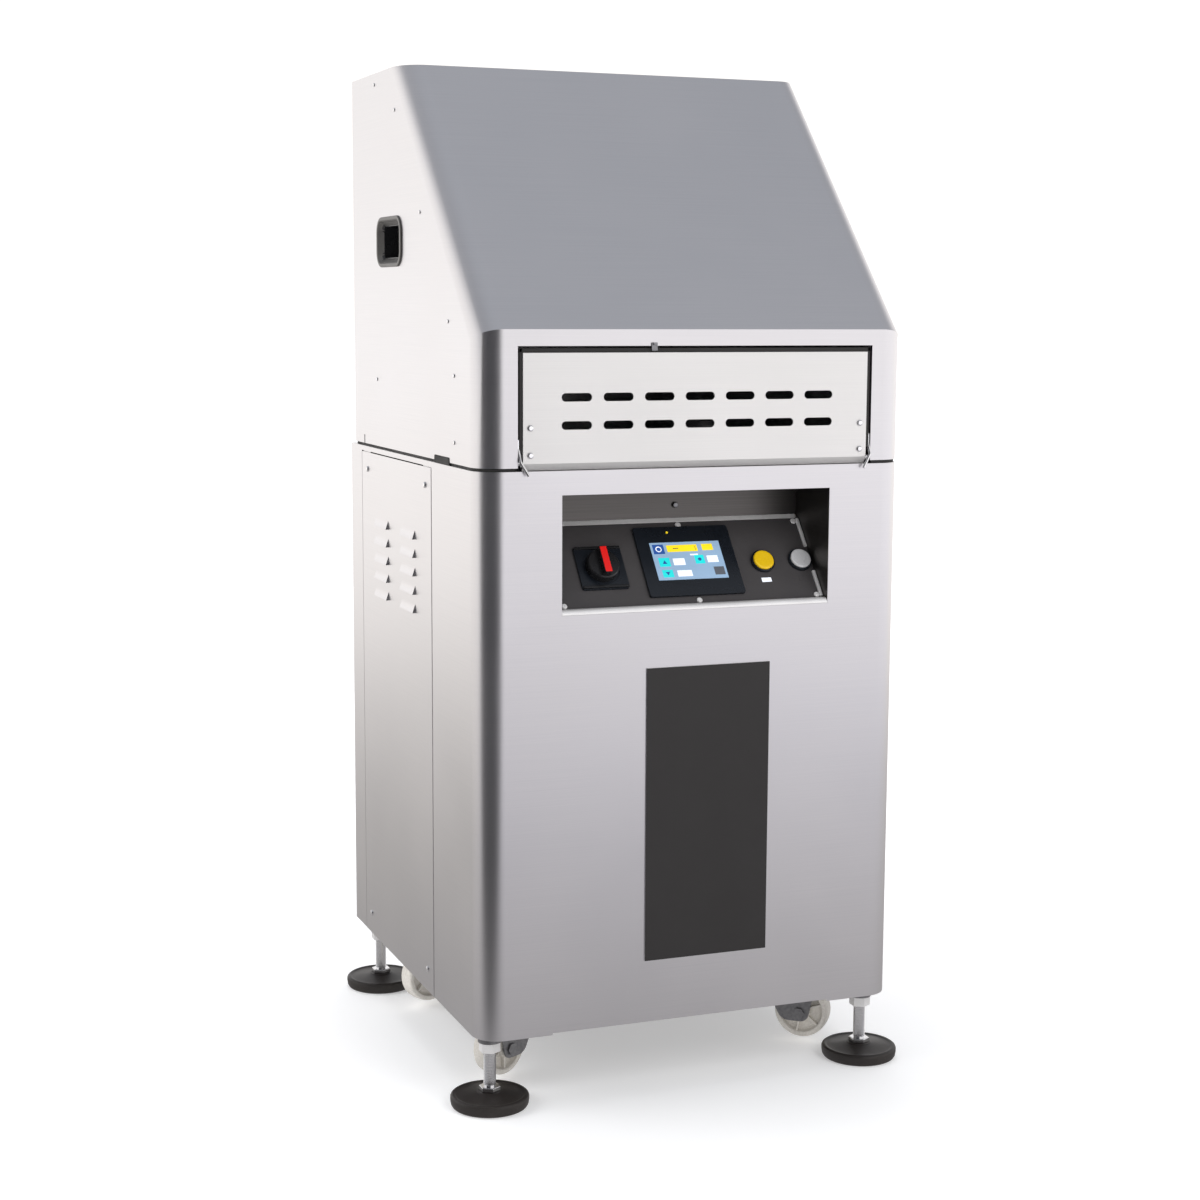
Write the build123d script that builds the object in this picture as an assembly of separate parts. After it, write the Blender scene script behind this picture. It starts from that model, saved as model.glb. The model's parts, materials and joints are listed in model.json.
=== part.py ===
from build123d import *
import math
import os

# A floor-standing heated water bath: a sheet-metal cabinet on levelling feet and casters, and a sloped
# hood that tips back on a rear hinge. All sizes are in millimetres. +Z is up, the front faces -Y, and the
# origin is on the floor under the cabinet's middle. Left (-X) and right (+X) are those of a person who
# stands in front of it.

# ---------------------------------------------------------------- cabinet
cabinet_w = 576.0           # cabinet width
cabinet_d = 596.0           # cabinet depth
cabinet_h = 708.0           # cabinet height, lower edge to deck
wheel_clearance = 13.0      # from the top of a caster wheel to the cabinet's lower edge
toe_d = 15.0                # depth of the shell's inward fold at its lower front edge
toe_notch_w = 384.0         # width of the cut-out in that fold
corner_r = 34.0             # outside radius of the rounded front corners
sheet = 1.5                 # thickness of the cladding sheet
gap = 0.3                   # gap between parts that only lie side by side
cut_over = 1.0              # how far a cutting block runs past the surface that it cuts
rear_flange_w = 20.0        # width of the shell's flanges behind the rear panel
trim_x0 = -69.0             # left edge of the dark plate on the front
trim_w = 169.0
trim_h = 376.5
trim_lift = 83.0            # from the cabinet's lower edge to that plate
trim_t = 2.0

# ---------------------------------------------------------------- hood
hood_h = 504.0              # hood height
hood_front_h = 166.0        # height of the hood's upright front
roof_d = 251.0              # depth of the flat roof
hood_setback = 24.0         # from the cabinet's back to the hood's back
seam_gap = 4.0              # height of the seam between cabinet and hood
hood_flange = 14.0          # inward return at the hood's lower edge
mouth_w = 476.0             # width of the loading mouth
mouth_top = 146.0           # height of the mouth above the hood's lower edge
gasket_inset = 2.0          # from the hood's outside to the gasket's outside
rest_from_front = 116.0     # from the cabinet's front to the rubber rest blocks
rest_len = 63.0
rest_h = 10.0
rest_d = 9.0
rest_proud = 0.8            # how far the rest blocks stand out of the sides
rear_slit_from_back = 49.0  # from the hood's back to the slit in its lower edge
rear_slit_w = 4.0
rear_slit_h = 12.0
cup_from_back = 190.0       # from the hood's back to the middle of a handle cup
cup_lift = 277.5            # from the hood's lower edge to the middle of a handle cup
cup_w = 120.0
cup_h = 67.0
cup_hole_w = 92.0
cup_hole_h = 42.0
cup_d = 34.0                # depth of a handle cup behind the sheet
cup_lip_t = 2.5
cup_r = 22.0
cup_rim = 7.0               # width of a cup's lip outside its body
cup_wall = 2.0

# ---------------------------------------------------------------- flap
flap_side_gap = 6.5         # gap at each side of the flap
flap_top_gap = 8.0          # gap above the flap
flap_foot = 5.0             # height of the flap's fold line above the hood's lower edge
flap_return = 12.0          # depth of the folded flap edges
lip_drop = 8.5              # drop of the flap's folded lower lip
pivot_set_in = 7.0          # flap pivot behind the front face
pivot_r = 3.0
slot_w = 39.0
slot_h = 10.0
slot_pitch = 54.2
slot_columns = 7
slot_row_zs = (50.5, 84.4)  # slot rows above the hood's lower edge
flap_screw_zs = (15.0, 48.0)
flap_screw_inset = 9.5
pin_collar_r = 5.0
pin_collar_t = 2.5
stop_wire_r = 1.8
bearing_gap = 0.05          # radial clearance of a shaft in its hole

# ---------------------------------------------------------------- side panels
window_front = 194.0        # from the cabinet's front to the side window
window_rear = 58.0          # from the side window to the cabinet's back
window_head = 7.0           # strip left above the window
panel_gap_front = 3.0
panel_gap = 1.5
landing_w = 42.0            # width of the landing strip behind a panel edge
louvre_w = 60.0
louvre_h = 10.0
louvre_out = 4.0
louvre_pitch = 24.5
louvre_rows = 5
louvre_top_drop = 103.0     # from the deck to the top louvre
louvre_blade_t = 1.2
louvre_columns = (106.0, 236.0)  # from the panel's front edge to each column's middle
rear_slot_w = 90.0
rear_slot_h = 6.0
rear_slot_x = 110.0
rear_slot_pitch = 16.0
rear_slot_rows = 6
rear_slot_lift = 250.0

# ---------------------------------------------------------------- control niche and fascia
niche_w = 362.0
niche_h = 147.5
niche_drop = 30.0           # from the deck to the top of the niche
niche_d = 96.0
niche_sheet = 1.2
sill_d = 13.0
sill_rise = 3.0
slope_rise = 102.0
fascia_t = 2.0
fascia_margin = 1.0
fascia_len = 123.0
niche_flange_w = 12.0       # flange of the niche behind the opening
fascia_screw_inset = 8.0
fascia_screw_from_edge = 4.8
screen_w = 96.0
screen_h = 56.0
bezel_w = 131.0
bezel_h = 103.0
bezel_t = 4.0
display_x = 8.5
display_s = 63.5
display_body_d = 34.0
display_body_inset = 6.0    # from the bezel's edge to the body behind the fascia
screen_pocket_d = 2.0
screen_t = 1.5
switch_x = -112.0
control_s = 58.5
switch_plate_w = 63.0
switch_plate_t = 3.0
switch_dish = 1.0           # depth of the round dish in the switch plate
switch_block_w = 50.0
switch_block_d = 42.0
knob_r = 21.0
knob_t = 12.0
grip_w = 10.0
grip_t = 9.0
spindle_r = 4.0
spindle_in = 18.0           # knob spindle behind the niche's sheet
button_xs = {"yellow_button": 111.0, "grey_button": 164.0}
cap_r = 14.0
cap_t = 4.0
collar_r = 16.0
collar_t = 4.5
neck_r = 10.9
stem_r = 7.0
button_travel = 3.0
neck_len = 22.0             # threaded neck of a button behind the fascia
button_block_w = 30.0
button_block_d = 22.0

# ---------------------------------------------------------------- fasteners
screw_head_r = 4.0
screw_head_t = 2.4
screw_r = 2.0
screw_len = 8.0
hole_gap = 0.2
rivet_r = 2.6
rivet_t = 1.2
rivet_shank_r = 1.6

# ---------------------------------------------------------------- feet and casters
foot_from_side = 26.0
foot_from_end = 40.0
pad_r = 50.0
pad_t = 20.0
foot_spindle_r = 8.0
foot_spindle_rise = 14.0    # from the top of a boss to the end of the spindle
nut_af = 24.0
nut_t = 13.0
boss_r = 15.0
boss_drop = 12.0            # boss below the cabinet's lower edge
boss_rise = 28.0            # from the frame's lower edge to the top of a boss
stud_r = 6.0                # stud of a spindle inside its pad
stud_len = 12.0
hex_collar_t = 6.0
caster_from_foot_x = 67.0   # from a foot's middle to its caster's swivel, across the cabinet
caster_from_foot_y = 100.0
wheel_r = 37.5
wheel_t = 25.0
wheel_lift = 8.0            # wheels clear of the floor while the feet carry the load
hub_t = 32.0
axle_r = 5.0
caster_trail = 30.0
caster_yaws = {"fl": 209.0, "fr": 319.0, "rl": 198.0, "rr": 328.0}
caster_plate_t = 3.0
caster_plate_w = 76.0
caster_plate_d = 60.0
cheek_t = 3.0
cheek_gap = 1.0             # from the wheel's hub to a cheek
fork_head_r = 24.0
fork_head_t = 8.0
fork_front = 26.0           # fork in front of and behind its swivel axis
fork_rear = 30.0

# ---------------------------------------------------------------- frame
frame_floor = 12.0          # frame above the cabinet's lower edge
angle_w = 40.0
angle_t = 3.0
upright_w = 30.0
top_angle_w = 20.0
gusset_w = 126.0
gusset_d = 166.0
gusset_t = 5.0

# ---------------------------------------------------------------- water circuit
tank_w = 430.0
tank_front = 116.0          # from the cabinet's front to the tank's inside face
tank_d = 395.0
tank_depth = 250.0
tank_r = 40.0
tank_rim = 15.0
pipe_r = 14.0
pipe_wall = 2.0
spigot_len = 20.0
shelf_lift = 45.0
shelf_t = 2.0
pump_y = 40.0
pump_axis_h = 62.0          # pump axis above the base plate
volute_r = 52.0
volute_len = 46.0
motor_r = 45.0
motor_len = 120.0
drain_x = 100.0
drain_y = 215.0
heater_r = 4.0
heater_span = 120.0
heater_lift = 22.0
heater_front = 50.0         # from the tank's front wall to the element
heater_rear = 70.0          # from the tank's rear wall to the element's inner bends
probe_y = 60.0
probe_lift = 80.0
probe_r = 3.0
probe_in = 90.0             # probe inside the tank
shelf_clear = 12.0          # from the tank's walls to the shelf
shelf_columns = 7
shelf_rows = 6
shelf_hole_r = 11.0
shelf_leg_r = 5.0
volute_x1 = 10.0
volute_wall = 10.0
inlet_len = 26.0
suction_x = -100.0
return_x = -13.0
return_from_pump = 26.0
bend_r = 34.0
impeller_blades = 8
impeller_gap = 4.0          # from the impeller's rim to the volute's wall
drain_foot_z = 58.0
drain_out_z = 68.0
drain_lever_z = 84.0
drain_body_r = 17.0
drain_tail_r = 9.5
drain_tail_y = 30.0
drain_tail_len = 40.0
lever_len = 62.0
lever_t = 3.0

# ---------------------------------------------------------------- electrical parts and rear hinge
gland_x = -200.0
gland_lift = 74.0           # from the cabinet's lower edge to the gland
gland_thread_r = 10.0
gland_bore_r = 6.5
gland_nut_r = 13.0
gland_nut_t = 5.0
gland_out = 8.0
gland_in = 26.0
box_w = 360.0
box_d = 55.0
box_h = 60.0
box_lift = 360.0
hinge_r = 5.5
hinge_pin_r = 3.0
hinge_behind_hood = 7.0
hinge_x = 170.0
hinge_half = 40.0
knuckle_half = 14.0
knuckle_gap = 0.5
leaf_t = 2.0
leaf_h = 36.0

# ---------------------------------------------------------------- derived places
half_w = cabinet_w / 2
half_d = cabinet_d / 2
front_y = -half_d
back_y = half_d
ground_clearance = wheel_lift + 2 * wheel_r + wheel_clearance
deck_z = ground_clearance + cabinet_h
hood_z = deck_z + seam_gap
roof_z = hood_z + hood_h
crease_z = hood_z + hood_front_h
hood_back_y = back_y - hood_setback
slope_top_y = hood_back_y - roof_d
frame_z = ground_clearance + frame_floor
base_top_z = frame_z + gusset_t + sheet
frame_inset = corner_r - (corner_r - sheet - 1.0) / math.sqrt(2)
foot_x = half_w - foot_from_side
foot_y = half_d - foot_from_end
caster_x = foot_x - caster_from_foot_x
caster_y = foot_y - caster_from_foot_y
boss_z = ground_clearance - boss_drop
boss_top = frame_z + boss_rise
foot_spindle_top = boss_top + foot_spindle_rise
niche_z1 = deck_z - niche_drop
niche_z0 = niche_z1 - niche_h
tank_front_y = front_y + tank_front
tank_back_y = tank_front_y + tank_d
tank_floor_z = deck_z - tank_depth
mouth_z = hood_z + mouth_top
pivot_y = front_y + pivot_set_in
pivot_z = hood_z + flap_foot
flap_w = mouth_w - 2 * flap_side_gap
flap_top_z = mouth_z - flap_top_gap
rest_y0 = front_y + rest_from_front
rest_y1 = rest_y0 + rest_len
cup_y = hood_back_y - cup_from_back
cup_z = hood_z + cup_lift
gland_z = ground_clearance + gland_lift
hinge_y = hood_back_y + hinge_behind_hood
hinge_axis_z = deck_z + hinge_r + gap
heater_z = tank_floor_z + heater_lift
probe_z = tank_floor_z + probe_lift
spigot_z = tank_floor_z - sheet - spigot_len
pump_z = base_top_z + pump_axis_h
volute_x0 = volute_x1 - volute_len
outlet_z = pump_z + volute_r + 12
drain_top_z = frame_z - 6.0
axle_z = wheel_lift + wheel_r
fork_top_z = frame_z - caster_plate_t - gap
fork_leg_x = hub_t / 2 + cheek_gap
return_y = pump_y + return_from_pump
spigots = {"suction": (suction_x, pump_y), "return": (return_x, return_y), "drain": (drain_x, drain_y)}
corners = {"fl": (-1, -1), "fr": (1, -1), "rl": (-1, 1), "rr": (1, 1)}


# ---------------------------------------------------------------- helpers
def slab(x0, x1, y0, y1, z0, z1):
    """Box between two opposite corners."""
    middle = Pos((x0 + x1) / 2, (y0 + y1) / 2, (z0 + z1) / 2)
    return middle * Box(abs(x1 - x0), abs(y1 - y0), abs(z1 - z0))


def rod_x(x0, x1, y, z, r):
    """Round bar along X."""
    return Pos((x0 + x1) / 2, y, z) * Rot(0, 90, 0) * Cylinder(r, abs(x1 - x0))


def rod_y(y0, y1, x, z, r):
    """Round bar along Y."""
    return Pos(x, (y0 + y1) / 2, z) * Rot(90, 0, 0) * Cylinder(r, abs(y1 - y0))


def rod_z(z0, z1, x, y, r):
    """Round bar along Z."""
    return Pos(x, y, (z0 + z1) / 2) * Cylinder(r, abs(z1 - z0))


def prism_x(outline, x0, x1):
    """Solid whose (y, z) outline runs along X."""
    face = make_face(Polyline([(x0, y, z) for y, z in outline], close=True))
    return extrude(face, x1 - x0, dir=(1, 0, 0))


def prism_y(outline, y0, y1):
    """Solid whose (x, z) outline runs along Y."""
    face = make_face(Polyline([(x, y0, z) for x, z in outline], close=True))
    return extrude(face, y1 - y0, dir=(0, 1, 0))


def rounded_slab(x0, x1, y0, y1, z0, z1, r, axis):
    """Box between two corners with its edges along one axis rounded."""
    block = slab(x0, x1, y0, y1, z0, z1)
    return fillet(block.edges().filter_by(axis), r)


def bay(inset, z0, z1, rear_y):
    """Block of the cabinet's outline, inset at front and sides, with its front corners rounded."""
    block = slab(-half_w + inset, half_w - inset, front_y + inset, rear_y, z0, z1)
    uprights = block.edges().filter_by(Axis.Z).group_by(Axis.Y)[0]
    return fillet(uprights, corner_r - inset)


def mirror_x(shape):
    """The same shape on the other side."""
    return mirror(shape, Plane.YZ)


def both_sides(shape):
    """A shape and its mirror image, as two separate solids."""
    return Compound(children=[Part() + shape, Part() + mirror_x(shape)])


def save(shape, node):
    """Write one node to its STEP file."""
    export_step(shape, "parts/" + node + ".step")


os.makedirs("parts", exist_ok=True)


# ---------------------------------------------------------------- fasteners
def screw():
    """Dome-head screw seated on z = 0, shank down."""
    head = Cylinder(screw_head_r, screw_head_t, align=(Align.CENTER, Align.CENTER, Align.MIN))
    head = fillet(head.edges().group_by(Axis.Z)[-1], screw_head_t * 0.8)
    return head + Cylinder(screw_r, screw_len, align=(Align.CENTER, Align.CENTER, Align.MAX))


def screw_hole():
    """Clearance hole for a screw seated on z = 0."""
    return Cylinder(screw_r + hole_gap, 2 * screw_len + 8)


def rivet():
    """Dome-head rivet seated on z = 0."""
    head = Cylinder(rivet_r, rivet_t, align=(Align.CENTER, Align.CENTER, Align.MIN))
    head = fillet(head.edges().group_by(Axis.Z)[-1], rivet_t * 0.8)
    return head + Cylinder(rivet_shank_r, sheet + 1, align=(Align.CENTER, Align.CENTER, Align.MAX))


# Seats of the side panel screws, facing -X, then those of the rear panel, facing +Y.
landing_ys = (front_y + window_front + landing_w / 2 + 8, back_y - window_rear - landing_w / 2 - 11)
side_seats = [
    Pos(-half_w, y, z) * Rot(0, -90, 0)
    for y in landing_ys
    for z in (ground_clearance + 30, deck_z - 32)
]
rear_seats = [
    Pos(side * (half_w - sheet - 10), back_y, z) * Rot(-90, 0, 0)
    for side in (-1, 1)
    for z in (ground_clearance + 54, ground_clearance + cabinet_h / 2, deck_z - 44)
]
flap_seats = [
    Pos(side * (flap_w / 2 - flap_screw_inset), front_y, hood_z + z) * Rot(90, 0, 0)
    for side in (-1, 1)
    for z in flap_screw_zs
]
rivet_places = [
    (hood_back_y - 118, roof_z - 15), (slope_top_y + 33.5, roof_z - 56),
    (slope_top_y - 82, roof_z - 193), (slope_top_y - 202, roof_z - 330),
    (hood_back_y - 121, hood_z + 92), (front_y + 95, hood_z + 108), (front_y + 95, hood_z + 26),
]
rivet_seats = [Pos(-half_w, y, z) * Rot(0, -90, 0) for y, z in rivet_places]

# ---------------------------------------------------------------- fascia plane
# Local x runs along X, local y up the slope, local z out of the fascia's face.
slope_foot_y = front_y + sill_d
slope_foot_z = niche_z0 + sill_rise
slope_run = niche_d - sill_d
slope_len = math.hypot(slope_run, slope_rise)
slope_out = (0, -slope_rise / slope_len, slope_run / slope_len)
fascia_plane = Plane(
    origin=(0, slope_foot_y + fascia_t * slope_out[1], slope_foot_z + fascia_t * slope_out[2]),
    x_dir=(1, 0, 0),
    z_dir=slope_out,
)
fascia_screws_at = [
    (x, s)
    for x in (-niche_w / 2 + fascia_screw_inset, display_x, niche_w / 2 - fascia_screw_inset)
    for s in (
        fascia_margin + fascia_screw_from_edge,
        fascia_margin + fascia_len - fascia_screw_from_edge,
    )
]


def on_fascia(shape):
    """Place a shape made in the fascia's own axes."""
    return fascia_plane.location * shape


def display_block(inset, z0, z1):
    """Block of the touch panel's outline, inset on every side, in the fascia's axes."""
    half_x = bezel_w / 2 - inset
    half_s = bezel_h / 2 - inset
    return slab(display_x - half_x, display_x + half_x, display_s - half_s, display_s + half_s, z0, z1)


def fascia_holes():
    """Everything that passes through the fascia and the niche's slope, in the fascia's axes."""
    reach = 20.0
    holes = display_block(display_body_inset - gap, -reach, reach)
    holes += rod_z(-reach, reach, switch_x, control_s, spindle_r + 2)
    for x in button_xs.values():
        holes += rod_z(-reach, reach, x, control_s, neck_r + hole_gap)
    for x, s in fascia_screws_at:
        holes += Pos(x, s, 0) * screw_hole()
    return holes


# ---------------------------------------------------------------- cabinet cladding
def cabinet_shell():
    """Front and both sides in one sheet, with side windows, a control opening and landing strips."""
    shell = bay(0, ground_clearance, deck_z, back_y)
    shell -= bay(sheet, ground_clearance - 1, deck_z + 1, back_y + 1)
    window = slab(
        -half_w - 1, half_w + 1, front_y + window_front, back_y - window_rear,
        ground_clearance - 1, deck_z - window_head,
    )
    shell -= window
    inner_x = half_w - sheet
    for y0, y1 in (
        (front_y + window_front - 6, front_y + window_front + landing_w),
        (back_y - window_rear - landing_w, back_y - window_rear + 6),
    ):
        strip = slab(-inner_x, -inner_x + sheet, y0, y1, ground_clearance, deck_z - sheet - gap)
        shell += strip + mirror_x(strip)
    rear = slab(
        -inner_x, -inner_x + rear_flange_w, back_y - 2 * sheet, back_y - sheet,
        ground_clearance, deck_z - sheet - gap,
    )
    shell += rear + mirror_x(rear)
    shell += slab(
        -half_w + corner_r, half_w - corner_r, front_y + sheet, front_y + toe_d,
        ground_clearance, ground_clearance + sheet,
    )
    shell -= slab(
        -toe_notch_w / 2, toe_notch_w / 2, front_y - cut_over, front_y + toe_d + cut_over,
        ground_clearance - cut_over, ground_clearance + sheet + cut_over,
    )
    shell -= slab(-niche_w / 2, niche_w / 2, front_y - cut_over, front_y + toe_d, niche_z0, niche_z1)
    for seat in side_seats:
        hole = seat * screw_hole()
        shell -= hole
        shell -= mirror_x(hole)
    for seat in rear_seats:
        shell -= seat * screw_hole()
    return shell


def louvre(y, z):
    """Cut and raised hood of one pressed louvre on the left side."""
    x = -half_w
    top = z + louvre_h / 2
    foot = z - louvre_h / 2
    cut = slab(x - 1, x + sheet + 1, y - louvre_w / 2, y + louvre_w / 2, foot, top)
    inner_x = x + sheet
    blade_outline = [
        (inner_x, top + 2), (x, top + 2), (x - louvre_out, foot),
        (x - louvre_out + louvre_blade_t, foot), (inner_x, top),
    ]
    y0 = y - louvre_w / 2
    y1 = y + louvre_w / 2
    blade = prism_y(blade_outline, y0 - louvre_blade_t, y1 + louvre_blade_t)
    cheek_outline = [(x, top + 2), (x - louvre_out, foot), (x, foot)]
    cheeks = prism_y(cheek_outline, y0 - louvre_blade_t, y0)
    cheeks += prism_y(cheek_outline, y1, y1 + louvre_blade_t)
    return cut, blade, cheeks


def side_panel():
    """Left service panel with two columns of louvres."""
    front = front_y + window_front + panel_gap_front
    rear = back_y - window_rear - panel_gap
    panel = slab(-half_w, -half_w + sheet, front, rear, ground_clearance, deck_z - window_head - panel_gap)
    for y in (front + louvre_columns[0], front + louvre_columns[1]):
        for row in range(louvre_rows):
            cut, blade, cheeks = louvre(y, deck_z - louvre_top_drop - row * louvre_pitch)
            panel -= cut
            inner_cut = slab(
                -half_w, -half_w + sheet + 1, y - louvre_w / 2 - 2, y + louvre_w / 2 + 2,
                cut.bounding_box().min.Z, cut.bounding_box().max.Z,
            )
            panel += (blade - inner_cut) + cheeks
    for seat in side_seats:
        panel -= seat * screw_hole()
    return panel


def rear_panel():
    """Flat back with ventilation slots, a gland hole and screw holes."""
    edge = half_w - sheet - gap
    panel = slab(-edge, edge, back_y - sheet, back_y, ground_clearance, deck_z - sheet)
    for x in (-rear_slot_x, rear_slot_x):
        for row in range(rear_slot_rows):
            z = ground_clearance + rear_slot_lift + row * rear_slot_pitch
            panel -= rounded_slab(
                x - rear_slot_w / 2, x + rear_slot_w / 2, back_y - 5, back_y + 5,
                z - rear_slot_h / 2, z + rear_slot_h / 2, rear_slot_h / 2 - 0.05, Axis.Y,
            )
    panel -= rod_y(back_y - 5, back_y + 5, gland_x, gland_z, gland_thread_r + hole_gap)
    for seat in rear_seats:
        panel -= seat * screw_hole()
    return panel


def cable_gland():
    """Inlet gland for the supply cable, clamped through the rear panel."""
    gland = rod_y(back_y - gland_in, back_y + gland_out, gland_x, gland_z, gland_thread_r)
    nut = extrude(RegularPolygon(gland_nut_r, 6), gland_nut_t)
    for y in (back_y, back_y - sheet - gland_nut_t):
        gland += Pos(gland_x, y, gland_z) * Rot(-90, 0, 0) * nut
    return gland - rod_y(back_y - gland_in - 1, back_y + gland_out + 1, gland_x, gland_z, gland_bore_r)


def top_deck():
    """Deck plate with the tank's cut-out."""
    inset = sheet + gap
    deck = bay(inset, deck_z - sheet, deck_z, back_y)
    grow = sheet + 1.0
    return deck - rounded_slab(
        -tank_w / 2 - grow, tank_w / 2 + grow, tank_front_y - grow, tank_back_y + grow,
        deck_z - 10, deck_z + 10, tank_r + grow, Axis.Z,
    )


def hood_gasket():
    """Black gasket under the hood, open at the loading mouth."""
    z1 = hood_z - gap
    ring = bay(gasket_inset, deck_z, z1, hood_back_y - gasket_inset)
    ring -= bay(hood_flange, deck_z - 1, z1 + 1, hood_back_y - hood_flange)
    half = mouth_w / 2 + 2
    ring -= slab(-half, half, front_y - 1, front_y + 2 * hood_flange, deck_z - 1, z1 + 1)
    return ring - rest_block_pocket(gap)


def rest_block_pocket(margin):
    """Room for the two rest blocks, grown by a margin."""
    left = slab(
        -half_w - 3, -half_w + rest_d + margin, rest_y0 - margin, rest_y1 + margin,
        deck_z - 1, deck_z + rest_h + margin,
    )
    return left + mirror_x(left)


def hood_rest_blocks():
    """Rubber blocks that carry and locate the hood's sides."""
    block = slab(-half_w - rest_proud, -half_w + rest_d, rest_y0, rest_y1, deck_z, deck_z + rest_h)
    return both_sides(fillet(block.edges().group_by(Axis.Z)[-1], 1.0))


def front_trim_panel():
    """Plain dark plate on the cabinet's front, a little right of the middle."""
    z0 = ground_clearance + trim_lift
    return slab(trim_x0, trim_x0 + trim_w, front_y - trim_t, front_y, z0, z0 + trim_h)


# ---------------------------------------------------------------- control niche
def niche_outline(out):
    """Side outline of the niche's hollow, grown outwards by a distance."""
    foot_lean = out * (slope_len - slope_run) / slope_rise
    head_lean = out * (slope_len - slope_rise) / slope_run
    return [
        (front_y + sheet, niche_z0 - out),
        (slope_foot_y + foot_lean, slope_foot_z - out),
        (front_y + niche_d + out, slope_foot_z + slope_rise - head_lean),
        (front_y + niche_d + out, niche_z1 + out),
        (front_y + sheet, niche_z1 + out),
    ]


def control_niche():
    """Folded box let into the front, with a flange behind the opening."""
    side = niche_w / 2
    box = prism_x(niche_outline(niche_sheet), -side - niche_sheet, side + niche_sheet)
    flange = side + niche_flange_w
    box += slab(
        -flange, flange, front_y + sheet, front_y + sheet + niche_sheet,
        niche_z0 - niche_flange_w, niche_z1 + niche_flange_w,
    )
    hollow = prism_x(niche_outline(0), -side, side)
    hollow += slab(-side, side, front_y, front_y + sheet + niche_sheet, niche_z0, niche_z1)
    return box - hollow - on_fascia(fascia_holes())


def fascia_plate():
    """Dark sloped plate that carries the controls."""
    side = niche_w / 2 - gap
    plate = slab(-side, side, fascia_margin, fascia_margin + fascia_len, -fascia_t, 0)
    return on_fascia(plate - fascia_holes())


def display_bezel():
    """Touch panel body with its bezel and screen pocket."""
    bezel = display_block(0, 0, bezel_t)
    bezel = fillet(bezel.edges().filter_by(Axis.Z), 3)
    body = display_block(display_body_inset, -display_body_d, 0)
    return on_fascia(bezel + body - screen_block(gap, bezel_t - screen_pocket_d, bezel_t + cut_over))


def screen_block(grow, z0, z1):
    """Block of the screen's outline, grown on every side, in the fascia's axes."""
    half_x = screen_w / 2 + grow
    half_s = screen_h / 2 + grow
    return slab(display_x - half_x, display_x + half_x, display_s - half_s, display_s + half_s, z0, z1)


def display_screen():
    """Glass of the touch panel, in the bezel's pocket."""
    z0 = bezel_t - screen_pocket_d
    return on_fascia(screen_block(0, z0, z0 + screen_t))


def switch_plate():
    """Square plate of the main switch, with a raised rim."""
    half = switch_plate_w / 2
    plate = rounded_slab(
        switch_x - half, switch_x + half, control_s - half, control_s + half, 0, switch_plate_t, 4, Axis.Z,
    )
    plate -= rod_z(switch_plate_t - switch_dish, switch_plate_t + 1, switch_x, control_s, knob_r + 3)
    return on_fascia(plate - rod_z(-1, 10, switch_x, control_s, spindle_r + bearing_gap))


def switch_block():
    """Contact block of the main switch, behind the niche."""
    top = -fascia_t - niche_sheet
    half = switch_block_w / 2
    foot = top - switch_block_d
    block = slab(switch_x - half, switch_x + half, control_s - half, control_s + half, foot, top)
    block -= rod_z(top - spindle_in - 2, top + 1, switch_x, control_s, spindle_r + bearing_gap)
    return on_fascia(block)


def switch_knob():
    """Round knob with a raised grip bar and its spindle."""
    z0 = switch_plate_t - switch_dish + gap
    knob = rod_z(z0, z0 + knob_t, switch_x, control_s, knob_r)
    knob = chamfer(knob.edges().group_by(Axis.Z)[-1], 1.5)
    half = knob_r - 1.5
    grip = rounded_slab(
        switch_x - grip_w / 2, switch_x + grip_w / 2, control_s - half, control_s + half,
        z0 + knob_t - 1, z0 + knob_t + grip_t, 3, Axis.Z,
    )
    spindle = rod_z(-fascia_t - niche_sheet - spindle_in, z0 + 1, switch_x, control_s, spindle_r)
    return on_fascia(knob + grip + spindle)


def button_collar(x):
    """Round collar and threaded neck of one push button."""
    collar = rod_z(0, collar_t, x, control_s, collar_r)
    collar = fillet(collar.edges().group_by(Axis.Z)[-1], 0.8)
    collar += rod_z(-neck_len, 0, x, control_s, neck_r)
    collar -= rod_z(gap, collar_t + 1, x, control_s, cap_r + bearing_gap)
    return on_fascia(collar - rod_z(-neck_len - 1, collar_t, x, control_s, stem_r + bearing_gap))


def button_block(x):
    """Contact block behind one push button."""
    half = button_block_w / 2
    foot = -neck_len - button_block_d
    return on_fascia(slab(x - half, x + half, control_s - half, control_s + half, foot, -neck_len))


def push_button(x):
    """Cap and stem of one push button."""
    z0 = gap + button_travel + 0.1
    cap = rod_z(z0, z0 + cap_t, x, control_s, cap_r)
    cap = fillet(cap.edges().group_by(Axis.Z)[-1], 1.2)
    return on_fascia(cap + rod_z(-neck_len + button_travel + 1, z0, x, control_s, stem_r))


def panel_screws():
    """All the dome-head screws of the side panels, rear panel and fascia."""
    screws = []
    for seat in side_seats:
        placed = seat * screw()
        screws += [placed, mirror_x(placed)]
    screws += [seat * screw() for seat in rear_seats]
    screws += [on_fascia(Pos(x, s, 0) * screw()) for x, s in fascia_screws_at]
    return Compound(children=screws)


# ---------------------------------------------------------------- frame and floor
def corner_angle(x, y, z0, z1, width, thick):
    """Upright angle with its outer corner at (x, y), opening towards the middle."""
    sx = -1 if x > 0 else 1
    sy = -1 if y > 0 else 1
    return (
        slab(x, x + sx * width, y, y + sy * thick, z0, z1)
        + slab(x, x + sx * thick, y, y + sy * width, z0, z1)
    )


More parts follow.
